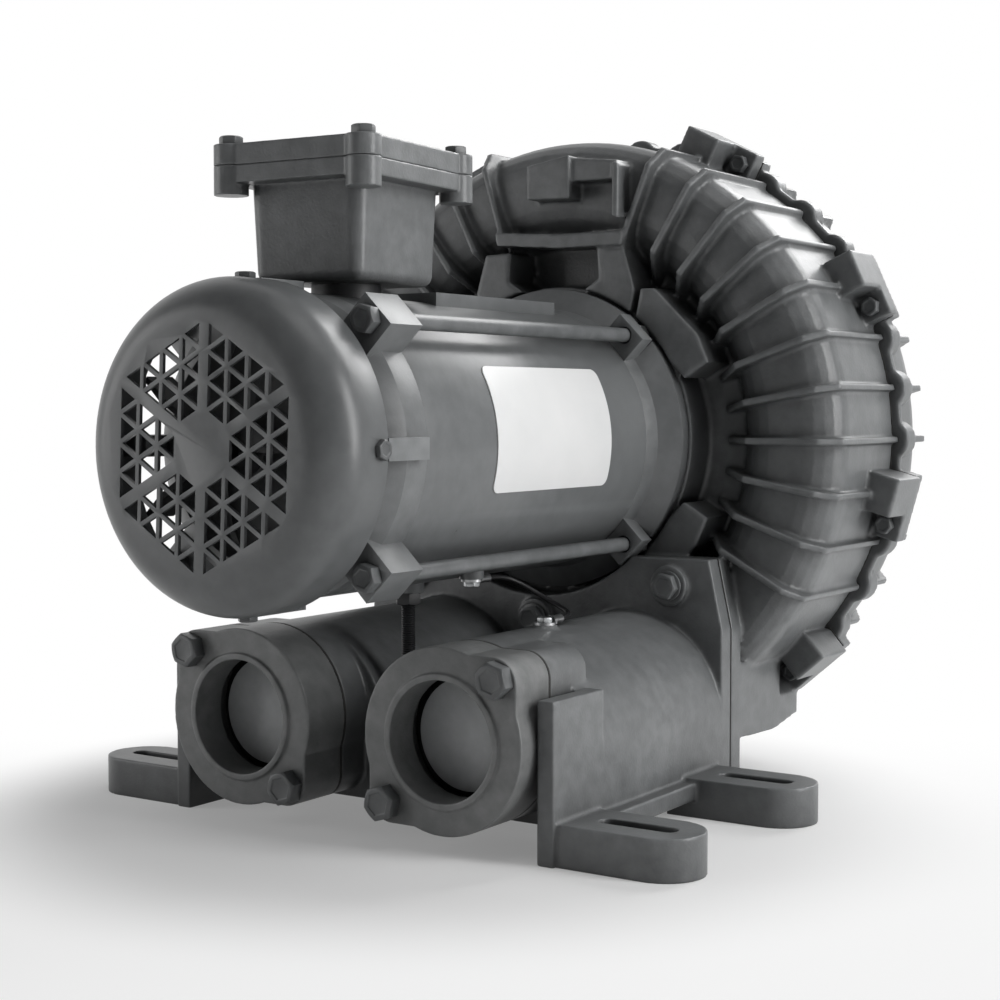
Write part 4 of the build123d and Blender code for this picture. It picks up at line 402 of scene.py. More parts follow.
@dataclass
class Workshop:
    """Makes the finishes once and hands finished pieces to the frame."""

    made: dict[str, bpy.types.Material] = field(default_factory=dict)

    def finish(self, finish: Finish) -> bpy.types.Material:
        """Return the material of a finish, made at its first use."""
        if finish.name not in self.made:
            self.made[finish.name] = finish.build()
        return self.made[finish.name]

    def dress(self, piece: bpy.types.Object, finish: Finish) -> None:
        """Give a whole piece one finish."""
        piece.data.materials.clear()
        piece.data.materials.append(self.finish(finish))

    def dress_nodes(self) -> None:
        """Give every node of the frame its own finish."""
        for name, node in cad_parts.items():
            material = self.finish(NODE_FINISHES[name])
            if not node.material_slots:
                node.data.materials.append(material)
            for slot in node.material_slots:
                slot.material = material

    def hand_over(
        self, piece: bpy.types.Object, finish: Finish, body: Body = Body.MACHINE,
        nodes: Sequence[str] = (),
    ) -> bpy.types.Object:
        """Dress a piece, hang it on its body and let it stand for frame nodes.

        Args:
            piece: Finished mesh or curve object.
            finish: Its finish.
            body: Body that carries it.
            nodes: Nodes that it stands for.

        Returns:
            The same piece.
        """
        self.dress(piece, finish)
        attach(piece, body.value)
        if nodes:
            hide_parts(*nodes)
        if piece.type == "MESH":
            log.info("%s: %d faces", piece.name, len(piece.data.polygons))
        return piece

    def set_fasteners(
        self, model: bpy.types.Object, name: str, places: Sequence[Place], node: str,
        finish: Finish = BOLT_ENAMEL,
    ) -> None:
        """Copy a fastener to its places and hand the whole set over as one piece.

        Args:
            model: Fastener built at the origin along +Z.
            name: Name of the set.
            places: Where each copy goes.
            node: Node that the set stands for.
            finish: Its finish.
        """
        self.hand_over(set_out(model, name, places), finish, nodes=[node])


def select_only(*objects: bpy.types.Object) -> None:
    """Deselect everything and select these objects, the first one active."""
    bpy.ops.object.select_all(action="DESELECT")
    for thing in objects:
        thing.select_set(True)
    bpy.context.view_layer.objects.active = objects[0]


def join(*parts: bpy.types.Object) -> bpy.types.Object:
    """Join parts into the first of them and return it, selected and active."""
    select_only(*parts)
    if len(parts) > 1:
        bpy.ops.object.join()
    return bpy.context.view_layer.objects.active


def apply_place() -> None:
    """Move the place, turn and scale of the selected object into its mesh."""
    bpy.ops.object.transform_apply(location=True, rotation=True, scale=True)


def open_whole(piece: bpy.types.Object) -> None:
    """Open a mesh in edit mode with all of it selected."""
    select_only(piece)
    bpy.ops.object.mode_set(mode="EDIT")
    bpy.ops.mesh.select_all(action="SELECT")


def cut_across(place: Point, normal: Point) -> None:
    """Cut the whole open mesh along a plane, as a new ring of edges.

    Args:
        place: Point on the plane, in metres.
        normal: Direction across the plane.
    """
    bpy.ops.mesh.select_all(action="SELECT")
    bpy.ops.mesh.bisect(plane_co=place, plane_no=normal)


def apply_modifier(piece: bpy.types.Object, kind: str, **settings: Any) -> None:
    """Add a modifier with its settings and apply it.

    Args:
        piece: Object that takes the modifier.
        kind: Modifier type.
        settings: Its properties.
    """
    modifier = piece.modifiers.new(kind.lower(), kind)
    for key, value in settings.items():
        setattr(modifier, key, value)
    select_only(piece)
    bpy.ops.object.modifier_apply(modifier=modifier.name)


def shape_with(piece: bpy.types.Object, tool: bpy.types.Object, operation: str) -> None:
    """Cut a piece with a tool body, or keep what lies inside it, and remove the tool.

    Args:
        piece: Mesh to shape.
        tool: Closed mesh, used up.
        operation: DIFFERENCE or INTERSECT.
    """
    apply_modifier(piece, "BOOLEAN", operation=operation, object=tool, solver="EXACT")
    bpy.data.objects.remove(tool)


def round_edges(piece: bpy.types.Object, width: float, angle: float, segments: int = 2) -> None:
    """Round all edges sharper than an angle.

    Args:
        piece: Mesh to round.
        width: Width of the rounding.
        angle: Smallest angle that is rounded, in degrees.
        segments: Steps across the rounding.
    """
    apply_modifier(
        piece, "BEVEL", width=width * MM, segments=segments, limit_method="ANGLE",
        angle_limit=math.radians(angle))


def copy_node(name: str, node: str) -> bpy.types.Object:
    """Copy a frame node into a new piece with its doubles merged.

    Args:
        name: Name of the new piece.
        node: Frame node to copy.

    Returns:
        The new piece, at the origin.
    """
    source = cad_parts[node]
    piece = bpy.data.objects.new(name, source.data.copy())
    piece.matrix_world = source.matrix_world
    bpy.context.scene.collection.objects.link(piece)
    select_only(piece)
    apply_place()
    open_whole(piece)
    bpy.ops.mesh.remove_doubles(threshold=MERGE_M)
    bpy.ops.object.mode_set(mode="OBJECT")
    return piece


def soften_edges(piece: bpy.types.Object, width: float, segments: int = 2, angle: float = 35.0) -> None:
    """Join flat areas, round all sharp edges a little and shade by angle.

    Args:
        piece: Mesh with merged doubles.
        width: Width of the rounding.
        segments: Steps across the rounding.
        angle: Edges sharper than this are rounded, in degrees.
    """
    open_whole(piece)
    bpy.ops.mesh.dissolve_limited(angle_limit=math.radians(FLAT_ANGLE))
    bpy.ops.object.mode_set(mode="OBJECT")
    round_edges(piece, width, angle, segments)
    shade(piece)


def shade(piece: bpy.types.Object, angle: float = 35.0) -> None:
    """Shade a piece smooth except across edges sharper than the angle."""
    select_only(piece)
    bpy.ops.object.shade_smooth_by_angle(angle=math.radians(angle))


@dataclass(frozen=True)
class CastSkin:
    """How a node becomes a casting: a fine skin with soft edges and filled corners."""

    voxel: float
    smoothing: int
    faces: int

    def build(self, name: str, node: str) -> bpy.types.Object:
        """Copy a node and turn its sharp edges and corners into cast ones.

        Args:
            name: Name of the piece.
            node: Frame node that it is made from.

        Returns:
            One closed mesh with soft edges.
        """
        piece = copy_node(name, node)
        voxel = self.voxel * 1.0
        piece.data.remesh_voxel_size = voxel * MM
        piece.data.remesh_voxel_adaptivity = 0.0
        select_only(piece)
        bpy.ops.object.voxel_remesh()
        apply_modifier(piece, "SMOOTH", factor=0.5, iterations=self.smoothing)
        triangles = 2 * len(piece.data.polygons)
        if triangles > self.faces:
            apply_modifier(piece, "DECIMATE", decimate_type="COLLAPSE", ratio=self.faces / triangles)
        select_only(piece)
        bpy.ops.object.shade_smooth()
        # Normals that follow the larger faces keep the thinned skin free of blotches.
        apply_modifier(piece, "WEIGHTED_NORMAL", weight=50, keep_sharp=False)
        return piece


def start_round(name: str, radius: float, low: float, high: float, sides: int = 48) -> bpy.types.Object:
    """Add a round bar along +Z and leave it in edit mode with nothing selected.

    Args:
        name: Name of the piece.
        radius: Its radius.
        low: Height of its lower end.
        high: Height of its upper end.
        sides: Corners round it.

    Returns:
        The bar, in edit mode.
    """
    bpy.ops.object.select_all(action="DESELECT")
    bpy.ops.mesh.primitive_cylinder_add(
        vertices=sides, radius=radius * MM, depth=(high - low) * MM, location=(0, 0, (low + high) / 2 * MM))
    bar = bpy.context.active_object
    bar.name = name
    apply_place()
    bpy.ops.object.mode_set(mode="EDIT")
    bpy.ops.mesh.select_all(action="DESELECT")
    return bar


def pick_faces(piece: bpy.types.Object, test: Callable[[Any], bool]) -> None:
    """Select only the faces that pass a test, in edit mode.

    Args:
        piece: Mesh in edit mode.
        test: Says whether a polygon is wanted.
    """
    bpy.ops.object.mode_set(mode="OBJECT")
    mesh = piece.data
    for vertex in mesh.vertices:
        vertex.select = False
    for edge in mesh.edges:
        edge.select = False
    for face in mesh.polygons:
        face.select = test(face)
    bpy.ops.object.mode_set(mode="EDIT")
    bpy.ops.mesh.select_mode(type="FACE")


def extrude_up(height: float) -> None:
    """Extrude the selected faces along Z."""
    bpy.ops.mesh.extrude_region_move(TRANSFORM_OT_translate={"value": (0, 0, height * MM)})


@dataclass
class HexBolt:
    """Hexagon head with a chamfered top and a pressed ring, on a washer and a shank."""

    flats: float
    height: float
    shank_r: float
    shank: float
    washer_r: float = 0.0
    washer: float = 0.0
    dish: float = 0.35
    ring_share: float = 0.16
    ring_edge: float = 0.5
    end_chamfer: float = 0.8

    def model(self, name: str) -> bpy.types.Object:
        """Model the bolt with its head seat at the origin and its top towards +Z.

        Args:
            name: Name of the piece.

        Returns:
            The head with its washer and shank.
        """
        top = self.washer + self.height
        head = start_round(name, self.flats / math.sqrt(3), self.washer, top, 6)
        # The turned top: an inset ring, sunk a little, as on a forged head.
        pick_faces(head, lambda face: face.normal.z > FACING_UP)
        bpy.ops.mesh.inset(thickness=self.flats * self.ring_share * MM)
        bpy.ops.mesh.inset(thickness=self.ring_edge * MM, depth=-self.dish * MM)
        bpy.ops.object.mode_set(mode="OBJECT")
        shape_with(head, self.chamfer_cone(top), "INTERSECT")
        round_edges(head, 0.22, 25)
        parts = [head, self.round_shank()]
        if self.washer_r:
            parts.append(self.flat_washer())
        bolt = join(*parts)
        shade(bolt, 30)
        return bolt

    def chamfer_cone(self, top: float) -> bpy.types.Object:
        """Turned blank whose sloping top cuts the corners of the hexagon."""
        reach = self.flats / math.sqrt(3) + 2.0
        turned = self.flats * TURNED_SHARE
        drop = (reach - turned) * math.tan(math.radians(CHAMFER_SLOPE))
        bpy.ops.object.select_all(action="DESELECT")
        bpy.ops.mesh.primitive_cone_add(
            vertices=64, radius1=reach * MM, radius2=turned * MM, depth=drop * MM,
            location=(0, 0, (top - drop / 2 + 0.001) * MM))
        cone = bpy.context.active_object
        apply_place()
        bpy.ops.object.mode_set(mode="EDIT")
        pick_faces(cone, lambda face: face.normal.z < -FACING_UP)
        extrude_up(-self.height - 2.0)
        bpy.ops.object.mode_set(mode="OBJECT")
        return cone

    def round_shank(self) -> bpy.types.Object:
        """Shank with a chamfered end, let a little into the head."""
        shank = start_round("shank", self.shank_r, -self.shank, self.washer + 0.2, 32)
        pick_faces(shank, lambda face: face.normal.z < -FACING_UP)
        extrude_up(-self.end_chamfer)
        bpy.ops.transform.resize(value=(0.8, 0.8, 1.0))
        bpy.ops.object.mode_set(mode="OBJECT")
        return shank

    def flat_washer(self) -> bpy.types.Object:
        """Flat washer with rounded edges under the head."""
        washer = start_round("washer", self.washer_r, 0.0, self.washer, 48)
        bpy.ops.object.mode_set(mode="OBJECT")
        round_edges(washer, 0.3, 40)
        return washer


@dataclass
class HexNut:
    """Hexagon nut with both ends chamfered, round its bore."""

    flats: float
    height: float
    bore: float

    def model(self, name: str) -> bpy.types.Object:
        """Model the nut with its seat at the origin.

        Args:
            name: Name of the piece.

        Returns:
            The nut.
        """
        nut = start_round(name, self.flats / math.sqrt(3), 0.0, self.height, 6)
        bpy.ops.object.mode_set(mode="OBJECT")
        shape_with(nut, self.double_cone(), "INTERSECT")
        bore = start_round("bore", self.bore, -1.0, self.height + 1.0, 40)
        bpy.ops.object.mode_set(mode="OBJECT")
        shape_with(nut, bore, "DIFFERENCE")
        round_edges(nut, 0.2, 25)
        shade(nut, 30)
        return nut

    def double_cone(self) -> bpy.types.Object:
        """Turned blank whose sloping ends cut the corners of the hexagon."""
        corner = self.flats / math.sqrt(3) + 0.3
        turned = self.flats * TURNED_SHARE
        blank = start_round("blank", turned, 0.0, self.height, 64)
        cut = (corner - turned) * math.tan(math.radians(CHAMFER_SLOPE))
        for height in (cut, self.height - cut):
            cut_across((0, 0, height * MM), UP)
        bpy.ops.object.mode_set(mode="OBJECT")
        grow = corner / turned
        for vertex in blank.data.vertices:
            if cut * 0.9 * MM < vertex.co.z < (self.height - cut * 0.9) * MM:
                vertex.co.x, vertex.co.y = vertex.co.x * grow, vertex.co.y * grow
        return blank


def threaded_bar(name: str, radius: float, low: float, high: float, pitch: float) -> bpy.types.Object:
    """Round bar with ring grooves of a thread's pitch.

    Args:
        name: Name of the piece.
        radius: Outside radius of the thread.
        low: Lower end.
        high: Upper end.
        pitch: Distance from crest to crest.

    Returns:
        The bar along +Z.
    """
    bar = start_round(name, radius * THREAD_ROOT, low, low + pitch / 2, 28)
    pick_faces(bar, lambda face: face.normal.z > FACING_UP)
    turns = int((high - low) / pitch)
    for _ in range(turns):
        for size in (1.0 / THREAD_ROOT, THREAD_ROOT):
            extrude_up((high - low) / turns / 2)
            bpy.ops.transform.resize(value=(size, size, 1.0))
    bpy.ops.object.mode_set(mode="OBJECT")
    shade(bar, 20)
    return bar


def set_out(model: bpy.types.Object, name: str, places: Sequence[Place]) -> bpy.types.Object:
    """Copy a model to each place and join the copies into one piece.

    Args:
        model: Piece built at the origin along +Z, removed afterwards.
        name: Name of the joined piece.
        places: Seat point, direction of the model's +Z, and turn about it in degrees.

    Returns:
        The joined piece, at the origin.
    """
    copies = []
    for seat, direction, turn in places:
        copy = model.copy()
        copy.data = model.data.copy()
        bpy.context.scene.collection.objects.link(copy)
        lean = Vector(direction).to_track_quat("Z", "Y").to_matrix().to_4x4()
        spin = Matrix.Rotation(math.radians(turn), 4, "Z")
        copy.matrix_world = Matrix.Translation(Vector(seat) * MM) @ lean @ spin
        copies.append(copy)
    bpy.data.objects.remove(model)
    piece = join(*copies)
    apply_place()
    piece.name = name
    return piece


def on_axis(radius: float, degrees: float, y: float) -> Point:
    """Point at a radius and angle about the motor axis.

    Args:
        radius: Distance from the motor axis.
        degrees: Angle from +X towards +Z.
        y: Place along the axis.

    Returns:
        The point in the frame, in millimetres.
    """
    turn = math.radians(degrees)
    return radius * math.cos(turn), y, AXIS_Z + radius * math.sin(turn)


@dataclass
class RingHousing:
    """Finned ring housing: front half, rear cover and the bolts in the rim lugs."""

    seat_y: float = 196.8
    bolt_r: float = 195.0
    bolt_turn: float = 17.0
    rear_fin_y: float = 224.2
    rear_fin_r: float = 190.5
    lug_angles: tuple[float, ...] = (24.5, 63.0, 113.0, 150.0, 187.0, 226.0, 268.5, 311.0, 344.5)
    front_skin: CastSkin = CastSkin(voxel=1.6, smoothing=4, faces=198000)
    rear_skin: CastSkin = CastSkin(voxel=1.8, smoothing=4, faces=160000)

    def build(self, shop: Workshop) -> None:
        """Make the castings and their bolts."""
        front = self.front_skin.build("ring_housing_casting", "blower_housing")
        shop.hand_over(front, CAST_ENAMEL, nodes=["blower_housing"])
        rear = self.rear_skin.build("rear_cover_casting", "rear_cover")
        self.trim_rear_fins(rear)
        shop.hand_over(rear, CAST_ENAMEL, nodes=["rear_cover"])
        bolt = HexBolt(flats=10.0, height=5.5, shank_r=3.0, shank=25.0).model("lug_bolt")
        places = [
            (on_axis(self.bolt_r, angle, self.seat_y), TO_FAN, self.bolt_turn * step)
            for step, angle in enumerate(self.lug_angles)
        ]
        shop.set_fasteners(bolt, "rim_lug_bolts", places, "cover_bolts")

    def trim_rear_fins(self, rear: bpy.types.Object) -> None:
        """Dress the tips of the rear fins back to the rim, as they are ground after casting."""
        start, limit = self.rear_fin_y * MM, self.rear_fin_r * MM
        for vertex in rear.data.vertices:
            reach = math.hypot(vertex.co.x, vertex.co.z - AXIS_Z * MM)
            if vertex.co.y > start and reach > limit:
                pull = limit / reach
                vertex.co.x *= pull
                vertex.co.z = AXIS_Z * MM + (vertex.co.z - AXIS_Z * MM) * pull


@dataclass
class BaseCasting:
    """Base with its two silencer bodies, port flanges, bolts and the stud under the motor."""

    port_x: float = 68.0
    port_z: float = 60.0
    port_y: float = -105.0
    bolt_offset: float = 35.0
    joint_seat_y: float = 91.0
    joint_places: tuple[tuple[float, float], ...] = ((-94.0, 125.0), (94.0, 125.0), (0.0, 100.0), (0.0, 42.0))
    stud_r: float = 4.0
    stud_y: float = -40.0
    stud_low: float = 48.0
    stud_top: float = 127.5
    stud_pitch: float = 1.25
    bridge_top: float = 62.0
    nut_height: float = 7.0
    base_skin: CastSkin = CastSkin(voxel=1.4, smoothing=3, faces=198000)
    flange_skin: CastSkin = CastSkin(voxel=0.9, smoothing=2, faces=90000)

    def build(self, shop: Workshop) -> None:
        """Make the base, its flanges, bolts and the support stud."""
        base = self.base_skin.build("base_casting", "manifold")
        shop.hand_over(base, CAST_ENAMEL, nodes=["manifold"])
        for side in ("left", "right"):
            flange = self.flange_skin.build(f"port_flange_casting_{side}", f"port_flange_{side}")
            shop.hand_over(flange, IRON_ENAMEL, nodes=[f"port_flange_{side}"])
        bolt = HexBolt(flats=17.0, height=8.0, shank_r=5.0, shank=50.0, dish=0.5).model("flange_bolt")
        places: list[Place] = []
        for side in (-1, 1):
            for turn in (-1, 1):
                x = side * self.port_x + turn * side * self.bolt_offset
                seat = (x, self.port_y, self.port_z + turn * self.bolt_offset)
                places.append((seat, TO_FAN, 13.0 * turn))
        shop.set_fasteners(bolt, "port_flange_bolts", places, "port_bolts")
        bolt = HexBolt(
            flats=14.0, height=5.0, shank_r=4.0, shank=27.0, washer_r=9.0, washer=1.5).model("joint_bolt")
        places = [
            ((x, self.joint_seat_y, z), TO_FAN, 21.0 * step)
            for step, (x, z) in enumerate(self.joint_places)
        ]
        shop.set_fasteners(bolt, "base_joint_bolts", places, "base_bolts")
        self.stud(shop)

    def stud(self, shop: Workshop) -> None:
        """Make the support stud with a nut on the base and a nut under the motor."""
        stud = threaded_bar("support_stud_thread", self.stud_r, self.stud_low, self.stud_top, self.stud_pitch)
        places: list[Place] = [((0.0, self.stud_y, 0.0), UP, 0.0)]
        shop.set_fasteners(stud, "support_stud_thread", places, "support_stud", BLACKED_STEEL)
        nut = HexNut(flats=13.0, height=self.nut_height, bore=4.15).model("stud_nut")
        places = [
            ((0.0, self.stud_y, self.bridge_top), UP, 12.0),
            ((0.0, self.stud_y, self.stud_top - self.nut_height), UP, 40.0),
        ]
        shop.set_fasteners(nut, "support_stud_nuts", places, "stud_nuts", BLACKED_STEEL)


@dataclass
class BondingLead:
    """Thin earth lead from the motor frame to the base, with a crimped ring at each end."""

    # Control points of the lead's own smooth line, from the upper ring to the lower one.
    route: tuple[Point, ...] = (
        (30.0, -5.0, 134.21), (30.0, 9.0, 134.21), (35.0, 21.0, 129.62), (46.0, 29.0, 121.11),
        (56.7, 31.0, 115.65), (65.0, 26.0, 113.68), (70.0, 17.0, 113.03), (70.0, 8.5, 112.37),
    )
    radius: float = 1.5
    length: float = 82.8
    top_ring: Point = (30.0, -21.0, 134.96)
    low_ring: Point = (70.0, -7.5, 110.37)
    ring_r: float = 6.0
    ring_thick: float = 1.5
    blade: float = 2.2
    barrel_r: float = 2.6
    barrel_start: float = 6.2
    crimp_cuts: tuple[float, ...] = (0.3, 0.42, 0.5, 0.58, 0.7)
    crimp_reach: float = 0.21
    crimp_depth: float = 0.16

    def build(self, shop: Workshop) -> None:
        """Make the lead, its rings and screws."""
        self.lead(shop)
        rings = join(
            self.ring("upper_ring", self.top_ring, -1, self.route[0]),
            self.ring("lower_ring", self.low_ring, 1, self.route[-1]))
        rings.name = "bonding_lead_rings"
        shop.hand_over(rings, TINNED_COPPER, nodes=["bonding_lugs"])
        screw = HexBolt(flats=8.0, height=3.0, shank_r=2.0, shank=7.0, dish=0.3).model("ring_screw")
        x, y, z = self.top_ring
        low_x, low_y, low_z = self.low_ring
        places = [
            ((x, y, z - self.ring_thick), DOWN, 10.0),
            ((low_x, low_y, low_z + self.ring_thick), UP, 25.0),
        ]
        shop.set_fasteners(
            screw, "bonding_lead_screws", places, "bonding_screws", PLATED_STEEL)

    def lead(self, shop: Workshop) -> None:
        """Lay the lead as one smooth spline."""
        data = bpy.data.curves.new("bonding_lead_sleeve", "CURVE")
        data.dimensions = "3D"
        spline = data.splines.new("NURBS")
        spline.points.add(len(self.route) - 1)
        for point, place in zip(spline.points, self.route):
            point.co = (*(value * MM for value in place), 1.0)
        spline.order_u = 3
        spline.use_endpoint_u = True
        spline.resolution_u = 12
        data.bevel_depth = self.radius * MM
        data.bevel_resolution = 6
        data.use_fill_caps = True
        sleeve = bpy.data.objects.new("bonding_lead_sleeve", data)
        bpy.context.scene.collection.objects.link(sleeve)
        shop.hand_over(sleeve, LEAD_SLEEVE, nodes=["bonding_lead"])

    def ring(self, name: str, place: Point, upward: int, end: Point) -> bpy.types.Object:
        """Model one crimped ring terminal.

        Args:
            name: Name of the piece.
            place: Centre of the face that lies on its boss.
            upward: 1 where the ring lies above that face, -1 below it.
            end: Point where the lead enters the barrel.

        Returns:
            The ring, its neck and its crimped barrel.
        """
        x, y, z = place
        disc = start_round(name, self.ring_r, 0.0, self.ring_thick, 40)
        pick_faces(disc, lambda face: face.normal.z > FACING_UP)
        bpy.ops.mesh.inset(thickness=0.4 * MM)
        # The blade runs on from the ring towards the barrel.
        pick_faces(disc, lambda face: face.normal.y > 0.85)
        bpy.ops.mesh.extrude_region_move(TRANSFORM_OT_translate={"value": (0, self.blade * MM, 0)})
        bpy.ops.object.mode_set(mode="OBJECT")
        low = z if upward > 0 else z - self.ring_thick
        disc.data.transform(Matrix.Translation(Vector((x, y, low)) * MM))
        barrel = self.barrel(f"{name}_barrel", end[1] - y - self.barrel_start)
        lean = Vector(TO_RING).to_track_quat("Z", "X").to_matrix().to_4x4()
        barrel.data.transform(Matrix.Translation(Vector((x, y + self.barrel_start, end[2])) * MM) @ lean)
        ring = join(disc, barrel)
        shade(ring, 35)
        return ring

    def barrel(self, name: str, length: float) -> bpy.types.Object:
        """Model the barrel along +Z, its middle pressed in by the crimp.

        Args:
            name: Name of the piece.
            length: Its length.

        Returns:
            The crimped barrel.
        """
        barrel = start_round(name, self.barrel_r, 0.0, length, 28)
        for share in self.crimp_cuts:
            cut_across((0, 0, length * share * MM), UP)
        bpy.ops.object.mode_set(mode="OBJECT")
        for vertex in barrel.data.vertices:
            # The crimp is deepest in the middle and runs out towards both ends.
            pinch = max(0.0, 1.0 - abs(vertex.co.z / MM - length / 2) / (length * self.crimp_reach))
            vertex.co.x *= 1.0 - self.crimp_depth * pinch * (abs(vertex.co.x) / (self.barrel_r * MM))
        return barrel


@dataclass
class Motor:
    """Motor frame with its brackets, rods, fan cover and label."""

    label_y: tuple[float, float] = (-68.0, 50.0)
    label_angles: tuple[float, float] = (-18.6, 31.7)
    label_r: float = 78.6
    label_thick: float = 0.5
    label_steps: int = 30
    corner: float = 5.0
    rod_r: float = 88.7
    rod_angles: tuple[float, ...] = (45.0, 135.0, 225.0, 315.0)
    rod_seat_y: float = -156.2
    nut_seat_y: float = 104.8
    cover_r: float = 83.7
    cover_angles: tuple[float, ...] = (0.0, 90.0, 180.0, 270.0)
    cover_screw_y: float = -174.7

    def build(self, shop: Workshop) -> None:
        """Make the motor's outside."""
        shell = copy_node("motor_frame", "motor_shell")
        soften_edges(shell, 0.5)
        shop.hand_over(shell, FRAME_ENAMEL, nodes=["motor_shell"])
        for end in ("fan_end", "drive_end"):
            bracket = copy_node(f"{end}_bracket_casting", f"{end}_bracket")
            soften_edges(bracket, 0.8, 3, 25.0)
            shop.hand_over(bracket, BRACKET_ENAMEL, nodes=[f"{end}_bracket"])
        cover = copy_node("drawn_fan_cover", "fan_cover")
        soften_edges(cover, 0.35)
        shop.hand_over(cover, COVER_ENAMEL, nodes=["fan_cover"])
        shop.hand_over(self.label(), LABEL_STOCK, nodes=["label_plate"])
        self.fasteners(shop)

    def fasteners(self, shop: Workshop) -> None:
        """Make the long bolts with their nuts, and the screws of the fan cover."""
        rod = HexBolt(flats=13.0, height=7.0, shank_r=4.3, shank=271.0).model("long_bolt")
        places = [(on_axis(self.rod_r, angle, self.rod_seat_y), TO_FAN, 15.0) for angle in self.rod_angles]
        shop.set_fasteners(rod, "long_motor_bolts", places, "through_bolts")
        nut = HexNut(flats=13.0, height=7.0, bore=4.8).model("long_bolt_nut")
        places = [
            (on_axis(self.rod_r, angle, self.nut_seat_y), TO_RING, 20.0 + angle / 3)
            for angle in self.rod_angles
        ]
        shop.set_fasteners(nut, "long_bolt_nuts", places, "through_bolt_nuts", PLATED_STEEL)
        screw = HexBolt(flats=9.0, height=3.0, shank_r=2.5, shank=12.0, dish=0.4).model("cover_screw")
        places = []
        for angle in self.cover_angles:
            turn = math.radians(angle)
            outward = (math.cos(turn), 0.0, math.sin(turn))
            places.append((on_axis(self.cover_r, angle, self.cover_screw_y), outward, 7.0))
        shop.set_fasteners(screw, "fan_cover_screw_heads", places, "fan_cover_screws")

    def label(self) -> bpy.types.Object:
        """Model the blank label: a thin sheet with round corners, wrapped on the frame.

        Returns:
            The label piece.
        """
        low, high = (math.radians(angle) for angle in self.label_angles)
        start, end = self.label_y
        wide = self.label_r * (high - low)
        bpy.ops.object.select_all(action="DESELECT")
        bpy.ops.mesh.primitive_plane_add(size=1.0)
        sheet = bpy.context.active_object
        sheet.name = "blank_label"
        sheet.scale = ((end - start) * MM, wide * MM, 1.0)
        apply_place()
        open_whole(sheet)
        bpy.ops.mesh.bevel(offset=self.corner * MM, segments=6, affect="VERTICES")
        for step in range(1, self.label_steps):
            height = (step / self.label_steps - 0.5) * wide * MM
            cut_across((0, height, 0), TO_RING)
        bpy.ops.object.mode_set(mode="OBJECT")
        middle = (low + high) / 2
        radius = self.label_r * MM
        for vertex in sheet.data.vertices:
            along, turn = vertex.co.x, vertex.co.y / radius + middle
            vertex.co = Vector((
                radius * math.cos(turn), (start + end) / 2 * MM + along,
                AXIS_Z * MM + radius * math.sin(turn)))
        open_whole(sheet)
        bpy.ops.mesh.normals_make_consistent(inside=False)
        bpy.ops.object.mode_set(mode="OBJECT")
        centre_face = sheet.data.polygons[len(sheet.data.polygons) // 2]
        if centre_face.normal.dot(Vector((math.cos(middle), 0, math.sin(middle)))) < 0:
            sheet.data.flip_normals()
        apply_modifier(sheet, "SOLIDIFY", thickness=self.label_thick * MM, offset=1.0)
        shade(sheet, 40)
        return sheet


@dataclass
class TerminalBox:
    """Terminal box, its lid and the lid bolts."""

    x: float = 1.0
    y: float = -96.0
    turn: float = 4.0
    top: float = 366.0
    span: tuple[float, float] = (82.0, 89.0)
    box_skin: CastSkin = CastSkin(voxel=0.9, smoothing=2, faces=90000)
    lid_skin: CastSkin = CastSkin(voxel=0.9, smoothing=2, faces=60000)

    def build(self, shop: Workshop) -> None:
        """Make the box, lid and bolts."""
        box = self.box_skin.build("terminal_box_casting", "terminal_box")
        shop.hand_over(box, CAST_ENAMEL, nodes=["terminal_box"])
        lid = self.lid_skin.build("terminal_box_lid_casting", "terminal_box_lid")
        shop.hand_over(lid, CAST_ENAMEL, nodes=["terminal_box_lid"])
        bolt = HexBolt(flats=11.0, height=4.5, shank_r=3.0, shank=22.0).model("lid_bolt")
        spin = Matrix.Rotation(math.radians(self.turn), 3, "Z")
        places: list[Place] = []
        for index, (sx, sy) in enumerate(((-1, -1), (-1, 1), (1, -1), (1, 1))):
            corner = spin @ Vector((sx * self.span[0] / 2, sy * self.span[1] / 2, 0))
            places.append(((self.x + corner.x, self.y + corner.y, self.top), UP, 11.0 * index))
        shop.set_fasteners(bolt, "box_lid_bolts", places, "lid_bolts")


@dataclass(frozen=True)
class LampPanel:
    """Soft lamp panel, aimed at the middle of the object."""

    name: str
    place: Point
    wide: float
    tall: float
    watts: float
    aim: Point = (0.0, 0.0, 200.0)

    def hang(self) -> None:
        """Hang the panel."""
        data = bpy.data.lights.new(self.name, "AREA")
        data.shape = "RECTANGLE"
        data.size = self.wide * MM
        data.size_y = self.tall * MM
        data.energy = self.watts
        lamp = bpy.data.objects.new(self.name, data)
        lamp.location = Vector(self.place) * MM
        lamp.rotation_euler = (Vector(self.aim) - Vector(self.place)).to_track_quat("-Z", "Y").to_euler()
        bpy.context.scene.collection.objects.link(lamp)


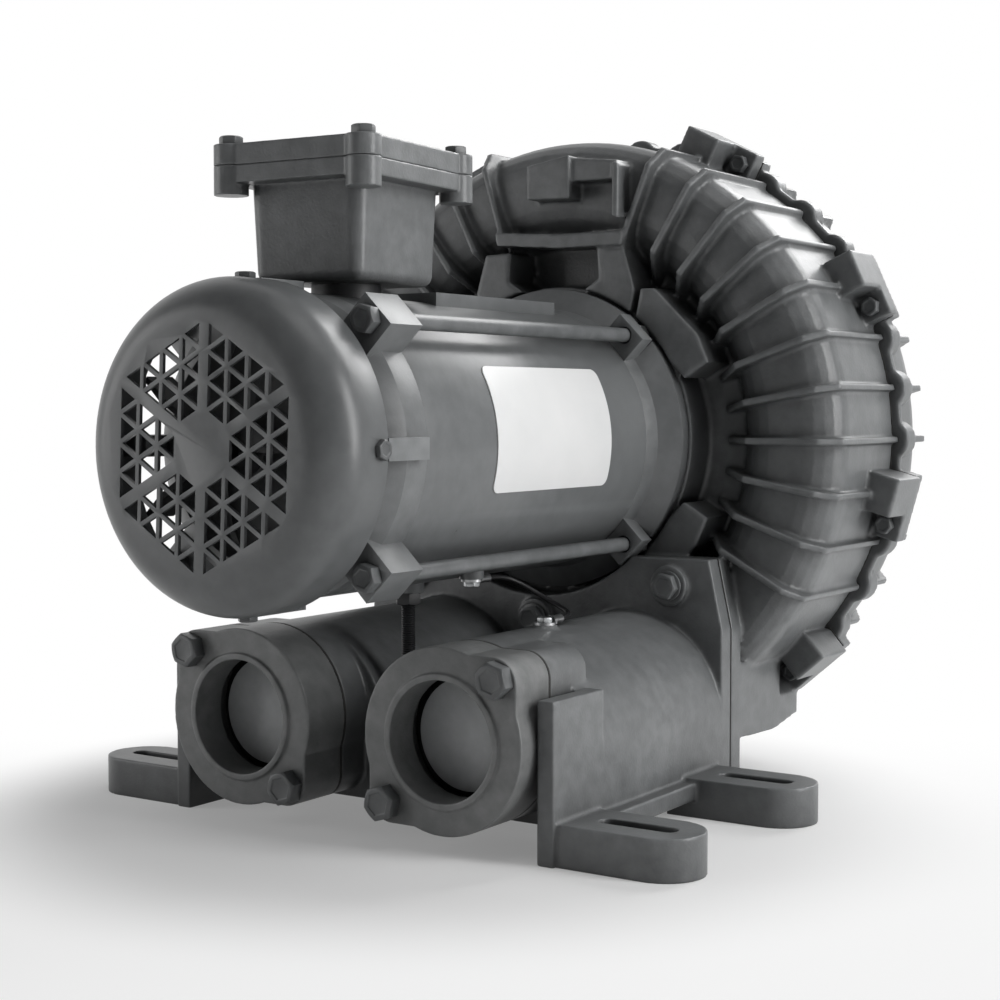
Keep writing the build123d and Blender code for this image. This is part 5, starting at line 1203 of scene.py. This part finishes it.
@dataclass
class Studio:
    """Pale floor, soft lamps and the camera at the photograph's angle."""

    camera_place: Point = (593.7, -846.8, 232.5)
    azimuth: float = 33.41
    down: float = 3.06
    lens: float = 64.53
    sensor: float = 36.0
    floor_size_m: float = 12.0
    # Where the floor starts and ends its fade to white, in depth and in distance from the middle.
    depth_m: tuple[float, float] = (-0.17, 0.22)
    depth_start: float = 0.68
    reach_m: tuple[float, float] = (0.2, 0.32)
    reach_start: float = 0.3
    # Light of the room, and how far behind the object its white sweep starts for gloss.
    room_light: float = 0.09
    sweep: tuple[float, float] = (0.1, 0.6)
    lamps: tuple[LampPanel, ...] = (
        LampPanel("key_panel", (1750.0, 250.0, 750.0), wide=550.0, tall=1400.0, watts=24.0),
        LampPanel("left_panel", (-1500.0, -1100.0, 500.0), wide=900.0, tall=900.0, watts=7.0),
        LampPanel("top_panel", (500.0, -300.0, 1900.0), wide=1000.0, tall=1000.0, watts=5.0),
        LampPanel("back_panel", (270.0, 1400.0, 1280.0), wide=900.0, tall=900.0, watts=17.0),
    )

    def build(self) -> None:
        """Set up floor, world, lamps, camera and view settings."""
        self.camera()
        self.floor()
        self.world()
        for panel in self.lamps:
            panel.hang()
        bpy.context.scene.view_settings.view_transform = "Standard"

    def away(self) -> Point:
        """Level direction in which the camera looks."""
        turn = math.radians(self.azimuth)
        return -math.sin(turn), math.cos(turn), 0.0

    def camera(self) -> None:
        """Place the camera where the photograph was taken from."""
        data = bpy.data.cameras.new("photo_camera")
        data.lens = self.lens
        data.sensor_width = self.sensor
        camera = bpy.data.objects.new("photo_camera", data)
        camera.location = Vector(self.camera_place) * MM
        camera.rotation_euler = (math.radians(90 - self.down), 0.0, math.radians(self.azimuth))
        bpy.context.scene.collection.objects.link(camera)
        bpy.context.scene.camera = camera

    def floor(self) -> None:
        """Lay a pale floor that fades to white behind the object."""
        bpy.ops.object.select_all(action="DESELECT")
        bpy.ops.mesh.primitive_plane_add(size=self.floor_size_m)
        floor = bpy.context.active_object
        floor.name = "studio_floor"
        material, tree, place = new_material("pale paper floor")
        # The paper fades to white towards the back, but keeps the shadow close round the object.
        depth = add_node(tree, "ShaderNodeVectorMath", {0: place}, operation="DOT_PRODUCT")
        depth.inputs[1].default_value = self.away()
        fade = add_node(
            tree, "ShaderNodeMapRange", {"Value": depth.outputs["Value"]}, interpolation_type="SMOOTHSTEP",
            From_Min=self.depth_m[0], From_Max=self.depth_m[1], To_Min=self.depth_start)
        reach = add_node(tree, "ShaderNodeVectorMath", {0: place}, operation="LENGTH")
        clear = add_node(
            tree, "ShaderNodeMapRange", {"Value": reach.outputs["Value"]}, interpolation_type="SMOOTHSTEP",
            From_Min=self.reach_m[0], From_Max=self.reach_m[1], To_Min=self.reach_start)
        open_floor = add_node(
            tree, "ShaderNodeMath", {0: fade.outputs["Result"], 1: clear.outputs["Result"]},
            operation="MULTIPLY")
        paper = add_node(tree, "ShaderNodeBsdfDiffuse", Color=linear("eeeeee"))
        glow = add_node(tree, "ShaderNodeEmission", Color=(1, 1, 1, 1), Strength=1.0)
        path = add_node(tree, "ShaderNodeLightPath")
        seen = add_node(
            tree, "ShaderNodeMath", {0: path.outputs["Is Camera Ray"], 1: path.outputs["Is Glossy Ray"]},
            operation="ADD", use_clamp=True)
        share = add_node(
            tree, "ShaderNodeMath", {0: open_floor.outputs[0], 1: seen.outputs[0]}, operation="MULTIPLY")
        surface = add_node(
            tree, "ShaderNodeMixShader",
            {0: share.outputs[0], 1: paper.outputs["BSDF"], 2: glow.outputs["Emission"]})
        add_node(tree, "ShaderNodeOutputMaterial", {"Surface": surface.outputs["Shader"]})
        floor.data.materials.append(material)

    def world(self) -> None:
        """White backdrop for the eye and for reflections, a soft grey for the rest."""
        world = bpy.data.worlds.new("studio_world")
        world.use_nodes = True
        tree = world.node_tree
        tree.nodes.clear()
        path = add_node(tree, "ShaderNodeLightPath")
        direct = add_node(
            tree, "ShaderNodeMath",
            {0: path.outputs["Is Camera Ray"], 1: path.outputs["Is Transmission Ray"]},
            operation="ADD", use_clamp=True)
        # Gloss shows the white sweep behind the object, and the darker room on the near side.
        toward = add_node(tree, "ShaderNodeTexCoord")
        behind = add_node(
            tree, "ShaderNodeVectorMath", {0: toward.outputs["Generated"]}, operation="DOT_PRODUCT")
        behind.inputs[1].default_value = self.away()
        sweep = add_node(
            tree, "ShaderNodeMapRange", {"Value": behind.outputs["Value"]},
            From_Min=self.sweep[0], From_Max=self.sweep[1])
        sheen = add_node(
            tree, "ShaderNodeMath", {0: sweep.outputs["Result"], 1: path.outputs["Is Glossy Ray"]},
            operation="MULTIPLY")
        seen = add_node(
            tree, "ShaderNodeMath", {0: direct.outputs[0], 1: sheen.outputs[0]},
            operation="ADD", use_clamp=True)
        soft = add_node(tree, "ShaderNodeBackground", Color=(1, 1, 1, 1), Strength=self.room_light)
        white = add_node(tree, "ShaderNodeBackground", Color=(1, 1, 1, 1), Strength=1.0)
        mixed = add_node(
            tree, "ShaderNodeMixShader",
            {0: seen.outputs[0], 1: soft.outputs["Background"], 2: white.outputs["Background"]})
        add_node(tree, "ShaderNodeOutputWorld", {"Surface": mixed.outputs["Shader"]})
        bpy.context.scene.world = world


def main() -> None:
    """Build the studio and every sub-assembly."""
    logging.basicConfig(level=logging.INFO, format="%(message)s")
    Studio().build()
    shop = Workshop()
    shop.dress_nodes()
    for assembly in (BondingLead(), RingHousing(), BaseCasting(), Motor(), TerminalBox()):
        assembly.build(shop)
        log.info("built %s", type(assembly).__name__)


if __name__ == "__main__":
    main()
